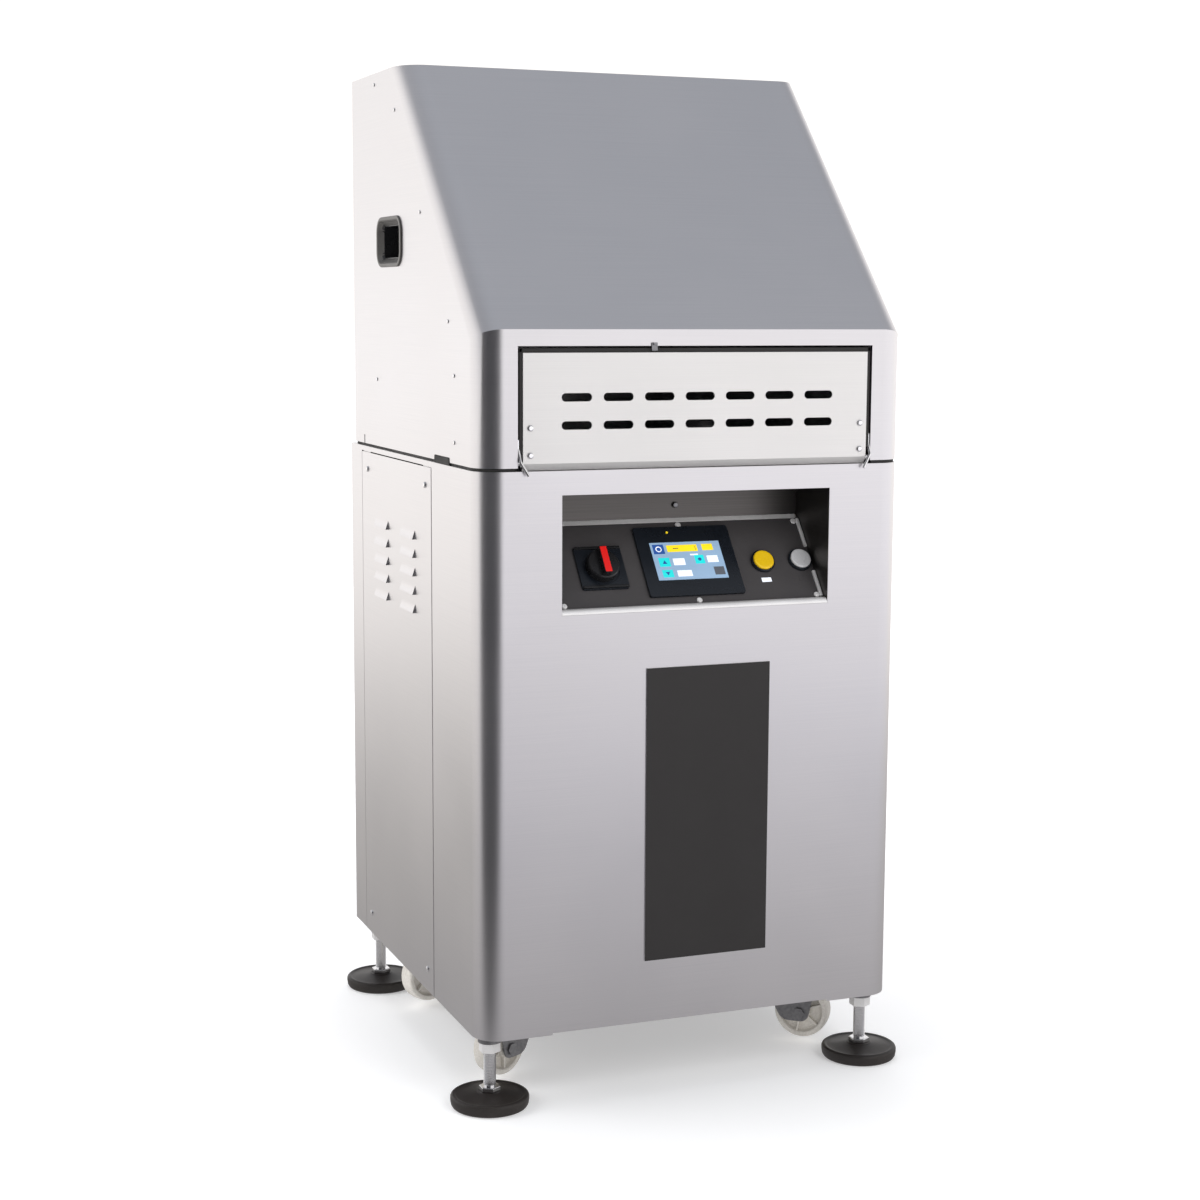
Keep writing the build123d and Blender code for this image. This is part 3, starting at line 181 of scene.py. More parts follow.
# %% Lathe
def lathe(name, outline, base, axis=UP, steps=72):
    """Piece turned from (radius, height) points in millimetres, about an axis through a base point."""
    points = [Vector((radius, 0, height)) * MM for radius, height in outline]
    bpy.ops.object.select_all(action="DESELECT")
    bpy.ops.mesh.primitive_plane_add(size=MM)
    piece = bpy.context.object
    piece.name = name
    bpy.ops.object.mode_set(mode="EDIT")
    bpy.ops.mesh.select_mode(type="VERT")
    bpy.ops.mesh.select_all(action="SELECT")
    bpy.ops.mesh.merge(type="CENTER")
    bpy.ops.transform.translate(value=points[0])
    for here, there in zip(points, points[1:]):
        bpy.ops.mesh.extrude_region_move(TRANSFORM_OT_translate={"value": there - here})
    bpy.ops.mesh.select_all(action="SELECT")
    bpy.ops.mesh.spin(steps=steps, angle=2 * math.pi, center=(0, 0, 0), axis=(0, 0, 1))
    bpy.ops.mesh.select_all(action="SELECT")
    bpy.ops.mesh.remove_doubles(threshold=1e-6)
    bpy.ops.mesh.normals_make_consistent(inside=False)
    done()
    turn = UP.rotation_difference(Vector(axis)).to_matrix().to_4x4()
    return turned(piece, Matrix.Translation(base) @ turn)


def place(piece, body, slot, finish, *nodes):
    """Give a piece its body, its finish, and the nodes that it stands for. The slot is not used."""
    piece.data.materials.clear()
    piece.data.materials.append(finish)
    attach(piece, body)
    if nodes:
        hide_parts(*nodes)
    print(piece.name, len(piece.data.polygons), "faces, on", body)
    return piece


# %% [markdown]
# ## The camera
# The camera stands in front and to the left, a little above the flap, and looks slightly down. A long lens
# keeps the cabinet's upright edges nearly parallel.

# %% Camera
camera_place = Vector((-1.0707, -2.7220, 1.0029))
camera_yaw = math.radians(21.18)
camera_pitch = math.radians(7.86)
camera_roll = math.radians(0.29)
camera_lens = 64.1

forward = Vector((
    math.sin(camera_yaw) * math.cos(camera_pitch),
    math.cos(camera_yaw) * math.cos(camera_pitch),
    -math.sin(camera_pitch),
))
bpy.ops.object.camera_add(location=camera_place)
camera = bpy.context.object
level = Matrix((
    (math.cos(camera_yaw), -math.sin(camera_yaw), 0),
    Vector((math.cos(camera_yaw), -math.sin(camera_yaw), 0)).cross(forward),
    -forward,
)).transposed()
camera.matrix_world = (
    Matrix.Translation(camera_place) @ level.to_4x4() @ Matrix.Rotation(camera_roll, 4, "Z")
)
camera.data.lens = camera_lens
bpy.context.scene.camera = camera

# %% [markdown]
# ## Shared surface effects
# Brushed sheet has fine parallel lines. Moulded and painted surfaces have a fine grain. Everything has slow
# blotches where hands and cloths have been. A texture picture could show this, but noise stays sharp at any
# distance and follows the real size of the piece. Each of the two effects is a node group, built once.


# %% Node groups
def new_group(name, inputs, outputs):
    """Empty shader group with named number inputs and outputs."""
    group = bpy.data.node_groups.new(name, "ShaderNodeTree")
    for label, value in inputs.items():
        socket = group.interface.new_socket(label, in_out="INPUT", socket_type="NodeSocketFloat")
        socket.default_value = value
    for label in outputs:
        group.interface.new_socket(label, in_out="OUTPUT", socket_type="NodeSocketFloat")
    return group, group.nodes.new("NodeGroupInput"), group.nodes.new("NodeGroupOutput")


def math_node(nodes, links, operation, first, second):
    """Math node on two values or sockets."""
    node = nodes.new("ShaderNodeMath")
    node.operation = operation
    for socket, value in zip(node.inputs, (first, second)):
        if isinstance(value, (int, float)):
            socket.default_value = value
        else:
            links.new(value, socket)
    return node.outputs[0]


def range_node(nodes, links, value, low, high, to_low=0.0, to_high=1.0, smooth=False):
    """Map a value from one range to another, in a straight line or with soft ends."""
    node = nodes.new("ShaderNodeMapRange")
    if smooth:
        node.interpolation_type = "SMOOTHSTEP"
    for label, number in zip(("From Min", "From Max", "To Min", "To Max"), (low, high, to_low, to_high)):
        node.inputs[label].default_value = number
    links.new(value, node.inputs["Value"])
    return node.outputs[0]


def noise_node(nodes, links, place, scale, detail):
    """Noise pattern of a scale and detail at a place."""
    node = nodes.new("ShaderNodeTexNoise")
    node.inputs["Scale"].default_value = scale
    node.inputs["Detail"].default_value = detail
    links.new(place, node.inputs["Vector"])
    return node


def brushed_group():
    """Fine parallel lines that run level on upright sheet and left to right on flat sheet."""
    facing_up = 0.93
    stretch_along = 5.0
    lines_per_metre = 1400.0
    group, source, out = new_group("brushed_lines", {"Fineness": 1.0}, ("Lines", "Blotch"))
    nodes, links = group.nodes, group.links
    place_node = nodes.new("ShaderNodeTexCoord")
    split = nodes.new("ShaderNodeSeparateXYZ")
    links.new(place_node.outputs["Object"], split.inputs[0])
    facing = nodes.new("ShaderNodeSeparateXYZ")
    links.new(place_node.outputs["Normal"], facing.inputs[0])
    upward = math_node(nodes, links, "ABSOLUTE", facing.outputs[2], 0.0)
    flat = math_node(nodes, links, "GREATER_THAN", upward, facing_up)
    across = nodes.new("ShaderNodeMix")
    links.new(flat, across.inputs["Factor"])
    links.new(split.outputs[2], across.inputs[2])
    links.new(split.outputs[1], across.inputs[3])
    along = math_node(nodes, links, "ADD", split.outputs[0], split.outputs[1])
    join = nodes.new("ShaderNodeCombineXYZ")
    links.new(math_node(nodes, links, "MULTIPLY", along, stretch_along), join.inputs[0])
    fine = math_node(nodes, links, "MULTIPLY", source.outputs["Fineness"], lines_per_metre)
    links.new(math_node(nodes, links, "MULTIPLY", across.outputs[0], fine), join.inputs[1])
    lines = noise_node(nodes, links, join.outputs[0], 1.0, 4.0)
    blotch = noise_node(nodes, links, place_node.outputs["Object"], 3.5, 3.0)
    links.new(lines.outputs[0], out.inputs["Lines"])
    links.new(blotch.outputs[0], out.inputs["Blotch"])
    return group


def moulded_group():
    """Fine grain of a moulded or sprayed surface, with slow blotches."""
    group, source, out = new_group("moulded_grain", {"Grain": 900.0}, ("Grain", "Blotch"))
    nodes, links = group.nodes, group.links
    place_node = nodes.new("ShaderNodeTexCoord")
    grain = noise_node(nodes, links, place_node.outputs["Object"], 1.0, 3.0)
    links.new(source.outputs["Grain"], grain.inputs["Scale"])
    blotch = noise_node(nodes, links, place_node.outputs["Object"], 22.0, 5.0)
    links.new(grain.outputs[0], out.inputs["Grain"])
    links.new(blotch.outputs[0], out.inputs["Blotch"])
    return group


brushed_lines = brushed_group()
moulded_grain = moulded_group()


# %% [markdown]
# ## Finishes
# A finish is a plain metal or plastic shader whose colour, roughness and bump come from one of the groups.
# Two colours close to each other, mixed by the blotches and lines, stop a surface from looking painted
# flat.


# %% Finish helper
finishes = {}


def colour_mix(nodes, links, share, first, second):
    """Colour between two others, by a share from 0 to 1."""
    mix = nodes.new("ShaderNodeMix")
    mix.data_type = "RGBA"
    mix.inputs["A"].default_value = (*first, 1)
    mix.inputs["B"].default_value = (*second, 1)
    links.new(share, mix.inputs["Factor"])
    return mix.outputs["Result"]


def finish(name, group, detail, light, dark, rough, bump, **fixed):
    """Material from a group, kept by name: colours, range of roughness, bump and fixed shader values."""
    material = bpy.data.materials.new(name)
    material.use_nodes = True
    nodes, links = material.node_tree.nodes, material.node_tree.links
    shader = nodes["Principled BSDF"]
    for label, value in fixed.items():
        shader.inputs[label.replace("_", " ")].default_value = value
    effect = nodes.new("ShaderNodeGroup")
    effect.node_tree = group
    effect.inputs[0].default_value = detail
    fine, blotch = effect.outputs[0], effect.outputs[1]
    both = math_node(nodes, links, "MULTIPLY", math_node(nodes, links, "ADD", fine, blotch), 0.5)
    shade = range_node(nodes, links, both, 0.35, 0.65)
    links.new(colour_mix(nodes, links, shade, dark, light), shader.inputs["Base Color"])
    links.new(range_node(nodes, links, blotch, 0.3, 0.7, *rough), shader.inputs["Roughness"])
    relief = nodes.new("ShaderNodeBump")
    relief.inputs["Strength"].default_value = bump[0]
    relief.inputs["Distance"].default_value = bump[1]
    links.new(fine, relief.inputs["Height"])
    links.new(relief.outputs[0], shader.inputs["Normal"])
    finishes[name] = material
    return material


# %% [markdown]
# ### Sheet steel
# The cabinet and hood are satin stainless sheet, brushed level. The flap is the same sheet with a paler,
# more scattered surface. The control recess has a near-black copy of the sheet, painted shade for the
# shade of its own folds.

# %% Sheet steel
brushed_stainless = finish(
    "brushed_stainless", brushed_lines, 1.0, (0.78, 0.765, 0.775), (0.73, 0.72, 0.735), (0.30, 0.37),
    (0.06, 0.0003), Metallic=1.0,
)
flap_stainless = finish(
    "flap_stainless", brushed_lines, 1.2, (0.86, 0.85, 0.83), (0.81, 0.80, 0.785), (0.40, 0.48),
    (0.05, 0.0003), Metallic=0.85,
)
# Painted shade: the recess sheet is a near-black copy of the brushed stainless, for the shade of its folds.
finish(
    "niche_stainless", brushed_lines, 0.8, (0.15, 0.14, 0.135), (0.11, 0.105, 0.10), (0.34, 0.42),
    (0.08, 0.0003), Metallic=1.0,
)

# %% [markdown]
# ### Plated steel, castings and paint
# Zinc plating is dull and slightly mottled, nickel and chrome plating are bright, and the pump is a painted
# casting. Folds, strips, screws and nuts that catch the light get a paler, less metallic finish: a painted
# highlight.

# %% Other metals
zinc_steel = finish(
    "zinc_steel", moulded_grain, 260.0, (0.36, 0.36, 0.37), (0.22, 0.22, 0.23), (0.32, 0.52),
    (0.10, 0.0004), Metallic=1.0,
)
bright_steel = finish(
    "bright_steel", moulded_grain, 700.0, (0.92, 0.92, 0.93), (0.84, 0.84, 0.85), (0.12, 0.24),
    (0.03, 0.0002), Metallic=1.0,
)
# Painted highlight: paler and less metallic than steel, so that the lamps make folds and nuts look bright.
painted_highlight_steel = finish(
    "painted_highlight_steel", moulded_grain, 800.0, (0.80, 0.79, 0.79), (0.72, 0.71, 0.71), (0.30, 0.42),
    (0.05, 0.0003), Metallic=0.3,
)
finish(
    "cup_steel", moulded_grain, 900.0, (0.15, 0.145, 0.14), (0.11, 0.105, 0.10), (0.34, 0.46),
    (0.06, 0.0003), Metallic=0.7,
)
finish(
    "cast_housing", moulded_grain, 350.0, (0.24, 0.26, 0.29), (0.16, 0.18, 0.20), (0.45, 0.65),
    (0.35, 0.0008), Metallic=0.2,
)
finish(
    "motor_paint", moulded_grain, 600.0, (0.06, 0.13, 0.25), (0.04, 0.09, 0.18), (0.30, 0.45),
    (0.15, 0.0004), Metallic=0.0,
)
finish(
    "brass_fitting", moulded_grain, 500.0, (0.78, 0.60, 0.30), (0.62, 0.45, 0.20), (0.20, 0.38),
    (0.06, 0.0003), Metallic=1.0,
)
red_sleeve = finish(
    "red_sleeve", moulded_grain, 800.0, (0.86, 0.012, 0.010), (0.74, 0.010, 0.008), (0.30, 0.42),
    (0.08, 0.0003), Metallic=0.0,
)

# %% [markdown]
# ### Rubber and plastics
# Rubber is nearly black and scatters light. The panel is powder-coated, and the plastics differ in gloss.

# %% Rubber and plastics
black_rubber = finish(
    "black_rubber", moulded_grain, 1200.0, (0.022, 0.021, 0.020), (0.012, 0.011, 0.011), (0.55, 0.75),
    (0.20, 0.0003), Metallic=0.0,
)
pad_rubber = finish(
    "pad_rubber", moulded_grain, 700.0, (0.030, 0.025, 0.022), (0.016, 0.013, 0.012), (0.36, 0.56),
    (0.16, 0.0004), Metallic=0.0,
)
finish(
    "charcoal_panel", moulded_grain, 1500.0, (0.026, 0.024, 0.024), (0.021, 0.019, 0.019), (0.50, 0.60),
    (0.10, 0.0002), Metallic=0.0, Specular_IOR_Level=0.35,
)
fascia_black = finish(
    "fascia_black", moulded_grain, 1600.0, (0.062, 0.058, 0.059), (0.050, 0.046, 0.048), (0.48, 0.62),
    (0.18, 0.0002), Metallic=0.0,
)
finish(
    "bezel_plastic", moulded_grain, 1300.0, (0.010, 0.013, 0.018), (0.006, 0.008, 0.012), (0.22, 0.34),
    (0.08, 0.0002), Metallic=0.0,
)
knob_plastic = finish(
    "knob_plastic", moulded_grain, 1300.0, (0.014, 0.014, 0.015), (0.008, 0.008, 0.009), (0.20, 0.32),
    (0.05, 0.0002), Metallic=0.0,
)
yellow_cap = finish(
    "yellow_cap", moulded_grain, 500.0, (0.90, 0.60, 0.01), (0.80, 0.50, 0.008), (0.18, 0.30),
    (0.05, 0.0003), Metallic=0.0, Coat_Weight=0.4,
)
grey_cap = finish(
    "grey_cap", moulded_grain, 500.0, (0.56, 0.56, 0.57), (0.47, 0.47, 0.48), (0.20, 0.32),
    (0.05, 0.0003), Metallic=0.0, Coat_Weight=0.4,
)
wheel_nylon = finish(
    "wheel_nylon", moulded_grain, 420.0, (0.78, 0.75, 0.70), (0.60, 0.57, 0.52), (0.38, 0.55),
    (0.12, 0.0004), Metallic=0.0,
)
finish(
    "box_plastic", moulded_grain, 900.0, (0.52, 0.53, 0.54), (0.45, 0.46, 0.47), (0.40, 0.55),
    (0.10, 0.0003), Metallic=0.0,
)


# %% [markdown]
# ### The lit screen
# A touch panel glows by itself, evenly, through a fine raster of cells. Each colour on it is the same
# finish with its own light.


# %% Lit finishes
def lit(name, colour, strength):
    """Glowing flat colour with the fine raster of a display."""
    material = finish(
        name, moulded_grain, 2600.0, colour, tuple(0.86 * c for c in colour), (0.16, 0.24), (0.02, 0.0001),
        Metallic=0.0, Emission_Strength=strength,
    )
    nodes, links = material.node_tree.nodes, material.node_tree.links
    shader = nodes["Principled BSDF"]
    links.new(shader.inputs["Base Color"].links[0].from_socket, shader.inputs["Emission Color"])
    return material


screen_ground = lit("screen_ground", (0.27, 0.40, 0.56), 0.40)
screen_white = lit("screen_white", (0.80, 0.84, 0.92), 0.55)
screen_yellow = lit("screen_yellow", (0.90, 0.66, 0.02), 0.55)
screen_cyan = lit("screen_cyan", (0.02, 0.62, 0.62), 0.55)
screen_blue = lit("screen_blue", (0.03, 0.09, 0.32), 0.40)
screen_grey = lit("screen_grey", (0.10, 0.11, 0.13), 0.30)

# %% [markdown]
# The record names a material slot for each part. Every part of the engineering model gets the finish of its
# slot here, so that nothing is left plain, and finer pieces later take over some of them.

# %% Finishes on the engineering parts
finishes["screen_glass"] = screen_ground
slot_of = {part["node"]: part["material_slot"] for part in frame["record"]["subparts"]}
body_of = {
    node: body for body, members in frame["record"]["behaviour"]["bodies"].items() for node in members
}
for node, slot in slot_of.items():
    mesh = frame["nodes"][node].data
    mesh.materials.clear()
    mesh.materials.append(finishes[slot])
print("finishes", len(bpy.data.materials))

# %% [markdown]
# ## The hood
# A real hood is one folded sheet with welded sides. It could be built wall by wall, but then every corner
# would have to be fitted. Here a block of its outside size loses its front corner to one sloped cut, the
# four upright and sloped side edges are rounded, and the open skin then gets its thickness inwards. The
# sheet turns inwards along the foot as a stiffening flange.

# %% Hood skin
sheet = 1.5 * MM
corner_radius = 34 * MM
corner_steps = 14
hood_low, hood_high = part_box("hood_shell")
crease_z = hood_low.z + 166 * MM
slope_top_y = hood_high.y - 251 * MM
foot_flange = 14 * MM

hood = block("hood_skin", hood_low, hood_high)
slope_normal = Vector((0, -(hood_high.z - crease_z), slope_top_y - hood_low.y)).normalized()
pick(hood, "FACE", lambda place, normal: True)
bpy.ops.mesh.bisect(
    plane_co=(0, hood_low.y, crease_z), plane_no=slope_normal, clear_outer=True, use_fill=True,
)
done()


def on_hood_corner(place, along):
    """Side edges of the hood's front and slope."""
    return abs(abs(place.x) - hood_high.x) < MM and abs(along.x) < 0.1 and (
        (place.y < hood_low.y + MM and abs(along.z) > 0.9)
        or (abs(along.dot(slope_normal)) < 0.01 and 0.2 < abs(along.z) < 0.9)
    )


pick(hood, "EDGE", on_hood_corner)
bpy.ops.mesh.bevel(offset=corner_radius, segments=corner_steps, affect="EDGES", clamp_overlap=False)
done()
pick(hood, "FACE", lambda place, normal: normal.z < -0.9)
bpy.ops.mesh.inset(thickness=foot_flange)
bpy.ops.mesh.delete(type="FACE")
done()
apply_modifier(hood, "SOLIDIFY", thickness=sheet, offset=-1, use_even_offset=True)
print("hood skin", len(hood.data.polygons), "faces")

# %% [markdown]
# ### The loading mouth
# The mouth has folded jambs and a lintel. They are blocks welded on before the opening is cut through the
# foot flange, so that one cut trims sheet and folds together.

# %% Loading mouth
mouth_half = 238 * MM
mouth_top = hood_low.z + 146 * MM
mouth_back = hood_low.y + foot_flange
weld_y = hood_low.y + 1.2 * MM
weld_z = hood_low.z + 0.4 * MM
weld_gap = 0.01 * MM
lining = merged("lining", [
    block("jamb_l", (-mouth_half - sheet, weld_y, weld_z), (-mouth_half, mouth_back, mouth_top + sheet)),
    block("jamb_r", (mouth_half, weld_y, weld_z), (mouth_half + sheet, mouth_back, mouth_top + sheet)),
    block("lintel", (-mouth_half + weld_gap, weld_y, mouth_top),
          (mouth_half - weld_gap, mouth_back, mouth_top + sheet)),
])
combine(hood, lining, "UNION")
combine(hood, block(
    "mouth", (-mouth_half, hood_low.y - MM, hood_low.z - MM), (mouth_half, mouth_back + MM, mouth_top),
), "DIFFERENCE")
print("mouth", round(2 * mouth_half / MM), "mm wide")

# %% [markdown]
# The windows for the grips are cut through both sides at once, so that they face each other exactly. The
# pockets over the rubber rests and the small slits near the back are plain blocks taken away.

# %% Grip windows, rest pockets and slits
cup_low, cup_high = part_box("handle_cups")
rest_low, rest_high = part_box("hood_rest_blocks")
cup_rim = 6 * MM
window_radius = 16 * MM
window = block(
    "window", (cup_low.x - MM, cup_low.y + cup_rim, cup_low.z + cup_rim),
    (cup_high.x + MM, cup_high.y - cup_rim, cup_high.z - cup_rim),
)
pick(window, "EDGE", lambda place, along: abs(along.x) > 0.9)
bpy.ops.mesh.bevel(offset=window_radius, segments=8, affect="EDGES")
done()
combine(hood, window, "DIFFERENCE")
slit_back = hood_high.y - 49 * MM
slit_width = 4 * MM
slit_height = 12 * MM
rest_gap = 0.3 * MM
rest_depth = 9.3 * MM
for side in (-1, 1):
    inner = side * (hood_high.x - rest_depth)
    outer = side * (hood_high.x + 5 * MM)
    combine(hood, block(
        "pocket", (min(inner, outer), rest_low.y - rest_gap, hood_low.z - MM),
        (max(inner, outer), rest_high.y + rest_gap, rest_high.z + rest_gap),
    ), "DIFFERENCE")
combine(hood, block(
    "slits", (-hood_high.x - MM, slit_back - slit_width, hood_low.z - MM),
    (hood_high.x + MM, slit_back, hood_low.z + slit_height),
), "DIFFERENCE")
soften(hood, 0.35 * MM)
place(hood, "hood", "brushed_stainless", brushed_stainless, "hood_shell")

# %% [markdown]
# ## The cabinet's skin
# Front and sides are one sheet with the same rounding at the front corners. The sides are open behind the
# service panels, with a landing strip on each side of the opening, and the front is open at the control
# recess and notched along its foot.

# %% Cabinet skin
skin_low, skin_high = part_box("cabinet_shell")
panel_low, panel_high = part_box("side_panel_left")
niche_low, niche_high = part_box("control_niche")
skin = block("cabinet_skin", skin_low, skin_high)
pick(skin, "EDGE", lambda place, along: abs(along.z) > 0.9 and place.y < skin_low.y + MM)
bpy.ops.mesh.bevel(offset=corner_radius, segments=corner_steps, affect="EDGES", clamp_overlap=False)
done()
pick(skin, "FACE", lambda place, normal: abs(normal.z) > 0.9 or normal.y > 0.9)
bpy.ops.mesh.delete(type="FACE")
done()
apply_modifier(skin, "SOLIDIFY", thickness=sheet, offset=-1, use_even_offset=True)

window_front = panel_low.y - 3 * MM
window_back = panel_high.y + 1.5 * MM
window_top = panel_high.z + 1.5 * MM
combine(skin, block(
    "side_windows", (-skin_high.x - MM, window_front, skin_low.z - MM),
    (skin_high.x + MM, window_back, window_top),
), "DIFFERENCE")
flange = 12 * MM
niche_opening_low = Vector((niche_low.x + flange, skin_low.y - MM, niche_low.z + flange))
niche_opening_high = Vector((niche_high.x - flange, skin_low.y + 5 * MM, niche_high.z - flange))
combine(skin, block("niche_opening", niche_opening_low, niche_opening_high), "DIFFERENCE")
notch_half = 192 * MM
notch_height = 2.5 * MM
combine(skin, block(
    "notch", (-notch_half, skin_low.y - MM, skin_low.z - MM),
    (notch_half, skin_low.y + 5 * MM, skin_low.z + notch_height),
), "DIFFERENCE")
soften(skin, 0.35 * MM)
place(skin, "cabinet", "brushed_stainless", brushed_stainless, "cabinet_shell")

# %% [markdown]
# The service panels need something to screw to. Plain strips stand behind each side opening and along the
# back edge. They are separate blocks joined into one piece and only lightly rounded, because they are
# mostly hidden.

# %% Landings behind the panels
strips = []
inner_x = skin_high.x - sheet
landing = 42 * MM
lap = 6 * MM
for side in (-1, 1):
    for y0, y1 in (
        (window_front - lap, window_front + landing), (window_back - landing, window_back + lap),
    ):
        x0, x1 = sorted((side * inner_x, side * (inner_x - sheet)))
        strips.append(block("landing", (x0, y0, skin_low.z), (x1, y1, window_top + 5 * MM)))
    x0, x1 = sorted((side * inner_x, side * (inner_x - 20 * MM)))
    strips.append(block(
        "rear_flange", (x0, skin_high.y - 2 * sheet, skin_low.z),
        (x1, skin_high.y - sheet, skin_high.z - 2 * MM),
    ))
landings = merged("panel_landings", strips)
soften(landings, 0.3 * MM)
place(landings, "cabinet", "brushed_stainless", brushed_stainless)

# %% [markdown]
# ## The flap
# The flap is a shallow tray: its face is folded back along the top and both ends, and its lower edge folds
# inwards to the pivots. An open box with its lower edge drawn out, then given its thickness, folds as the
# sheet does.

# %% Flap tray
flap_low, flap_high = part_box("flap")
pivot_z = hood_low.z + 5 * MM
lip = Vector((0, 5.5, -8.5)) * MM
flap = block("flap_tray", (flap_low.x, flap_low.y, pivot_z), flap_high)
pick(flap, "FACE", lambda place, normal: normal.y > 0.9 or normal.z < -0.9)
bpy.ops.mesh.delete(type="FACE")
done()
pick(flap, "EDGE", lambda place, along: abs(along.x) > 0.9 and place.z < pivot_z + MM)
bpy.ops.mesh.extrude_region_move(TRANSFORM_OT_translate={"value": lip})
done()
pick(flap, "FACE", lambda place, normal: True)
bpy.ops.mesh.normals_make_consistent(inside=False)
done()
front = max(flap.data.polygons, key=lambda face: face.area)
if front.normal.y > 0:
    pick(flap, "FACE", lambda place, normal: True)
    bpy.ops.mesh.flip_normals()
    done()
apply_modifier(flap, "SOLIDIFY", thickness=sheet, offset=-1, use_even_offset=True)
print("flap", round((flap_high.x - flap_low.x) / MM), "mm wide")

# %% [markdown]
# Two rows of slots are punched through the flap's face. Each slot is a block with rounded ends, and all of
# them are joined and cut in one go, which is quicker and cleaner than one cut for each.

# %% Slots of the flap
slot_size = Vector((39, 10)) * MM
slot_pitch = 54.2 * MM
slot_columns = 7
slot_rows = (hood_low.z + 50.5 * MM, hood_low.z + 84.4 * MM)
cutter_reach = 4 * MM
cutters = []
for row_z in slot_rows:
    for column in range(slot_columns):
        x = (column - (slot_columns - 1) / 2) * slot_pitch
        cutter = block(
            "slot", (x - slot_size.x / 2, flap_low.y - cutter_reach, row_z - slot_size.y / 2),
            (x + slot_size.x / 2, flap_low.y + cutter_reach, row_z + slot_size.y / 2),
        )
        pick(cutter, "EDGE", lambda place, along: abs(along.y) > 0.9)
        bpy.ops.mesh.bevel(offset=0.49 * slot_size.y, segments=8, affect="EDGES")
        done()
        cutters.append(cutter)
combine(flap, merged("slots", cutters), "DIFFERENCE")
soften(flap, 0.3 * MM)
place(flap, "flap_door", "brushed_stainless", flap_stainless, "flap")

# %% [markdown]
# A black rubber edging runs round the flap's top and ends and closes the gap to the mouth. A small spring
# tab on the lintel holds the flap shut. Both are a few blocks joined and rounded, because at this size only
# their outline and their edges show.

# %% Edging and tab
seal_y = (flap_low.y + 1.2 * MM, flap_low.y + 10 * MM)
seal_side = flap_high.x + 4.5 * MM
seal_top = flap_high.z + 5.5 * MM
seal_foot = pivot_z + 12 * MM
seal_in = flap_high.x + 0.1 * MM
seal = merged("flap_edging", [
    block("edge_top", (-seal_side, seal_y[0], flap_high.z + 0.1 * MM), (seal_side, seal_y[1], seal_top)),
    block("edge_l", (-seal_side, seal_y[0], seal_foot), (-seal_in, seal_y[1], seal_top)),
    block("edge_r", (seal_in, seal_y[0], seal_foot), (seal_side, seal_y[1], seal_top)),
])
soften(seal, 0.8 * MM, 3)
place(seal, "flap_door", "black_rubber", black_rubber)
tab_root = Vector((-62 * MM, hood_low.y, mouth_top))
tab = merged("flap_tab", [
    block("tab_leg", tab_root + Vector((-4, -1.6, -6)) * MM, tab_root + Vector((4, -0.2, 4)) * MM),
    block("tab_head", tab_root + Vector((-2, -2.8, 1)) * MM, tab_root + Vector((2, -1.4, 4)) * MM),
])
soften(tab, 0.4 * MM)
place(tab, "hood", "zinc_steel", zinc_steel)

# %% [markdown]
# ## Levelling feet
# Each foot is a moulded rubber pad under a threaded spindle with a hexagon collar. The pad's top is
# slightly domed inside a low rim, and its side leans in towards the floor. The thread is turned groove by
# groove: a true helix would take far more faces and look the same at this size.

# %% Outlines of pad and spindle
corners = ("fl", "fr", "rl", "rr")
pad_outline = [
    (0, 0.0), (44, 0.0), (47.5, 1.2), (49.2, 4.0), (50, 9.0), (50, 12.8), (49.2, 14.8), (47.4, 16.0),
    (45.6, 16.2), (43.6, 15.6), (42.2, 15.0), (36, 15.6), (26, 16.8), (17, 18.6), (15.5, 19.8), (6, 20),
    (0, 20),
]
thread_pitch = 2.0
thread_r = 8.0
thread_root = 7.1
collar_foot = 20.0
collar_top = 26.0
thread_start = collar_top + 3
nut_across = 24 * MM


def spindle_outline(top):
    """Half section of a threaded spindle from its collar to its top, in millimetres above the floor."""
    points = [(0, collar_foot), (thread_root, collar_foot), (thread_root, collar_top + 2)]
    turns = int((top - 1.5 - thread_start) / thread_pitch)
    for turn in range(turns):
        height = thread_start + turn * thread_pitch
        points += [(thread_r, height), (thread_r, height + 0.4)]
        points += [(thread_root, height + 1.1), (thread_root, height + 1.5)]
    return points + [(thread_root, top - 0.4), (thread_root - 1, top), (0, top)]


print("pad outline", len(pad_outline), "points, thread pitch", thread_pitch)

# %% [markdown]
# A nut or collar starts as a six-sided bar. Its edges are bevelled in edit mode, because real nuts are
# turned at their corners.


# %% Feet and nuts
def hexagon(name, x, y, z0, z1, across):
    """Hexagon nut or collar with its corners taken off."""
    nut = bar(name, (x, y, z0), (x, y, z1), across / 2 / math.cos(math.pi / 6), sides=6)
    pick(nut, "EDGE", lambda place, along: abs(along.z) < 0.1)
    bpy.ops.mesh.bevel(offset=1.1 * MM, segments=3, affect="EDGES")
    done()
    soften(nut, 0.25 * MM)
    return nut


for corner in corners:
    low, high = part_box("foot_pad_" + corner)
    middle = (low + high) / 2
    floor_point = Vector((middle.x, middle.y, low.z))
    pad = lathe("pad_" + corner, pad_outline, floor_point, steps=96)
    soften(pad, 0.3 * MM)
    place(pad, "foot_" + corner, "pad_rubber", pad_rubber, "foot_pad_" + corner)
    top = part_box("foot_spindle_" + corner)[1].z / MM
    spindle = lathe("spindle_" + corner, spindle_outline(top), floor_point, steps=40)
    only(spindle)
    bpy.ops.object.shade_smooth_by_angle(angle=SMOOTH)
    collar = hexagon(
        "collar_" + corner, middle.x, middle.y, collar_foot * MM, collar_top * MM, nut_across,
    )
    place(spindle, "foot_" + corner, "bright_steel", bright_steel, "foot_spindle_" + corner)
    place(collar, "foot_" + corner, "bright_steel", bright_steel)

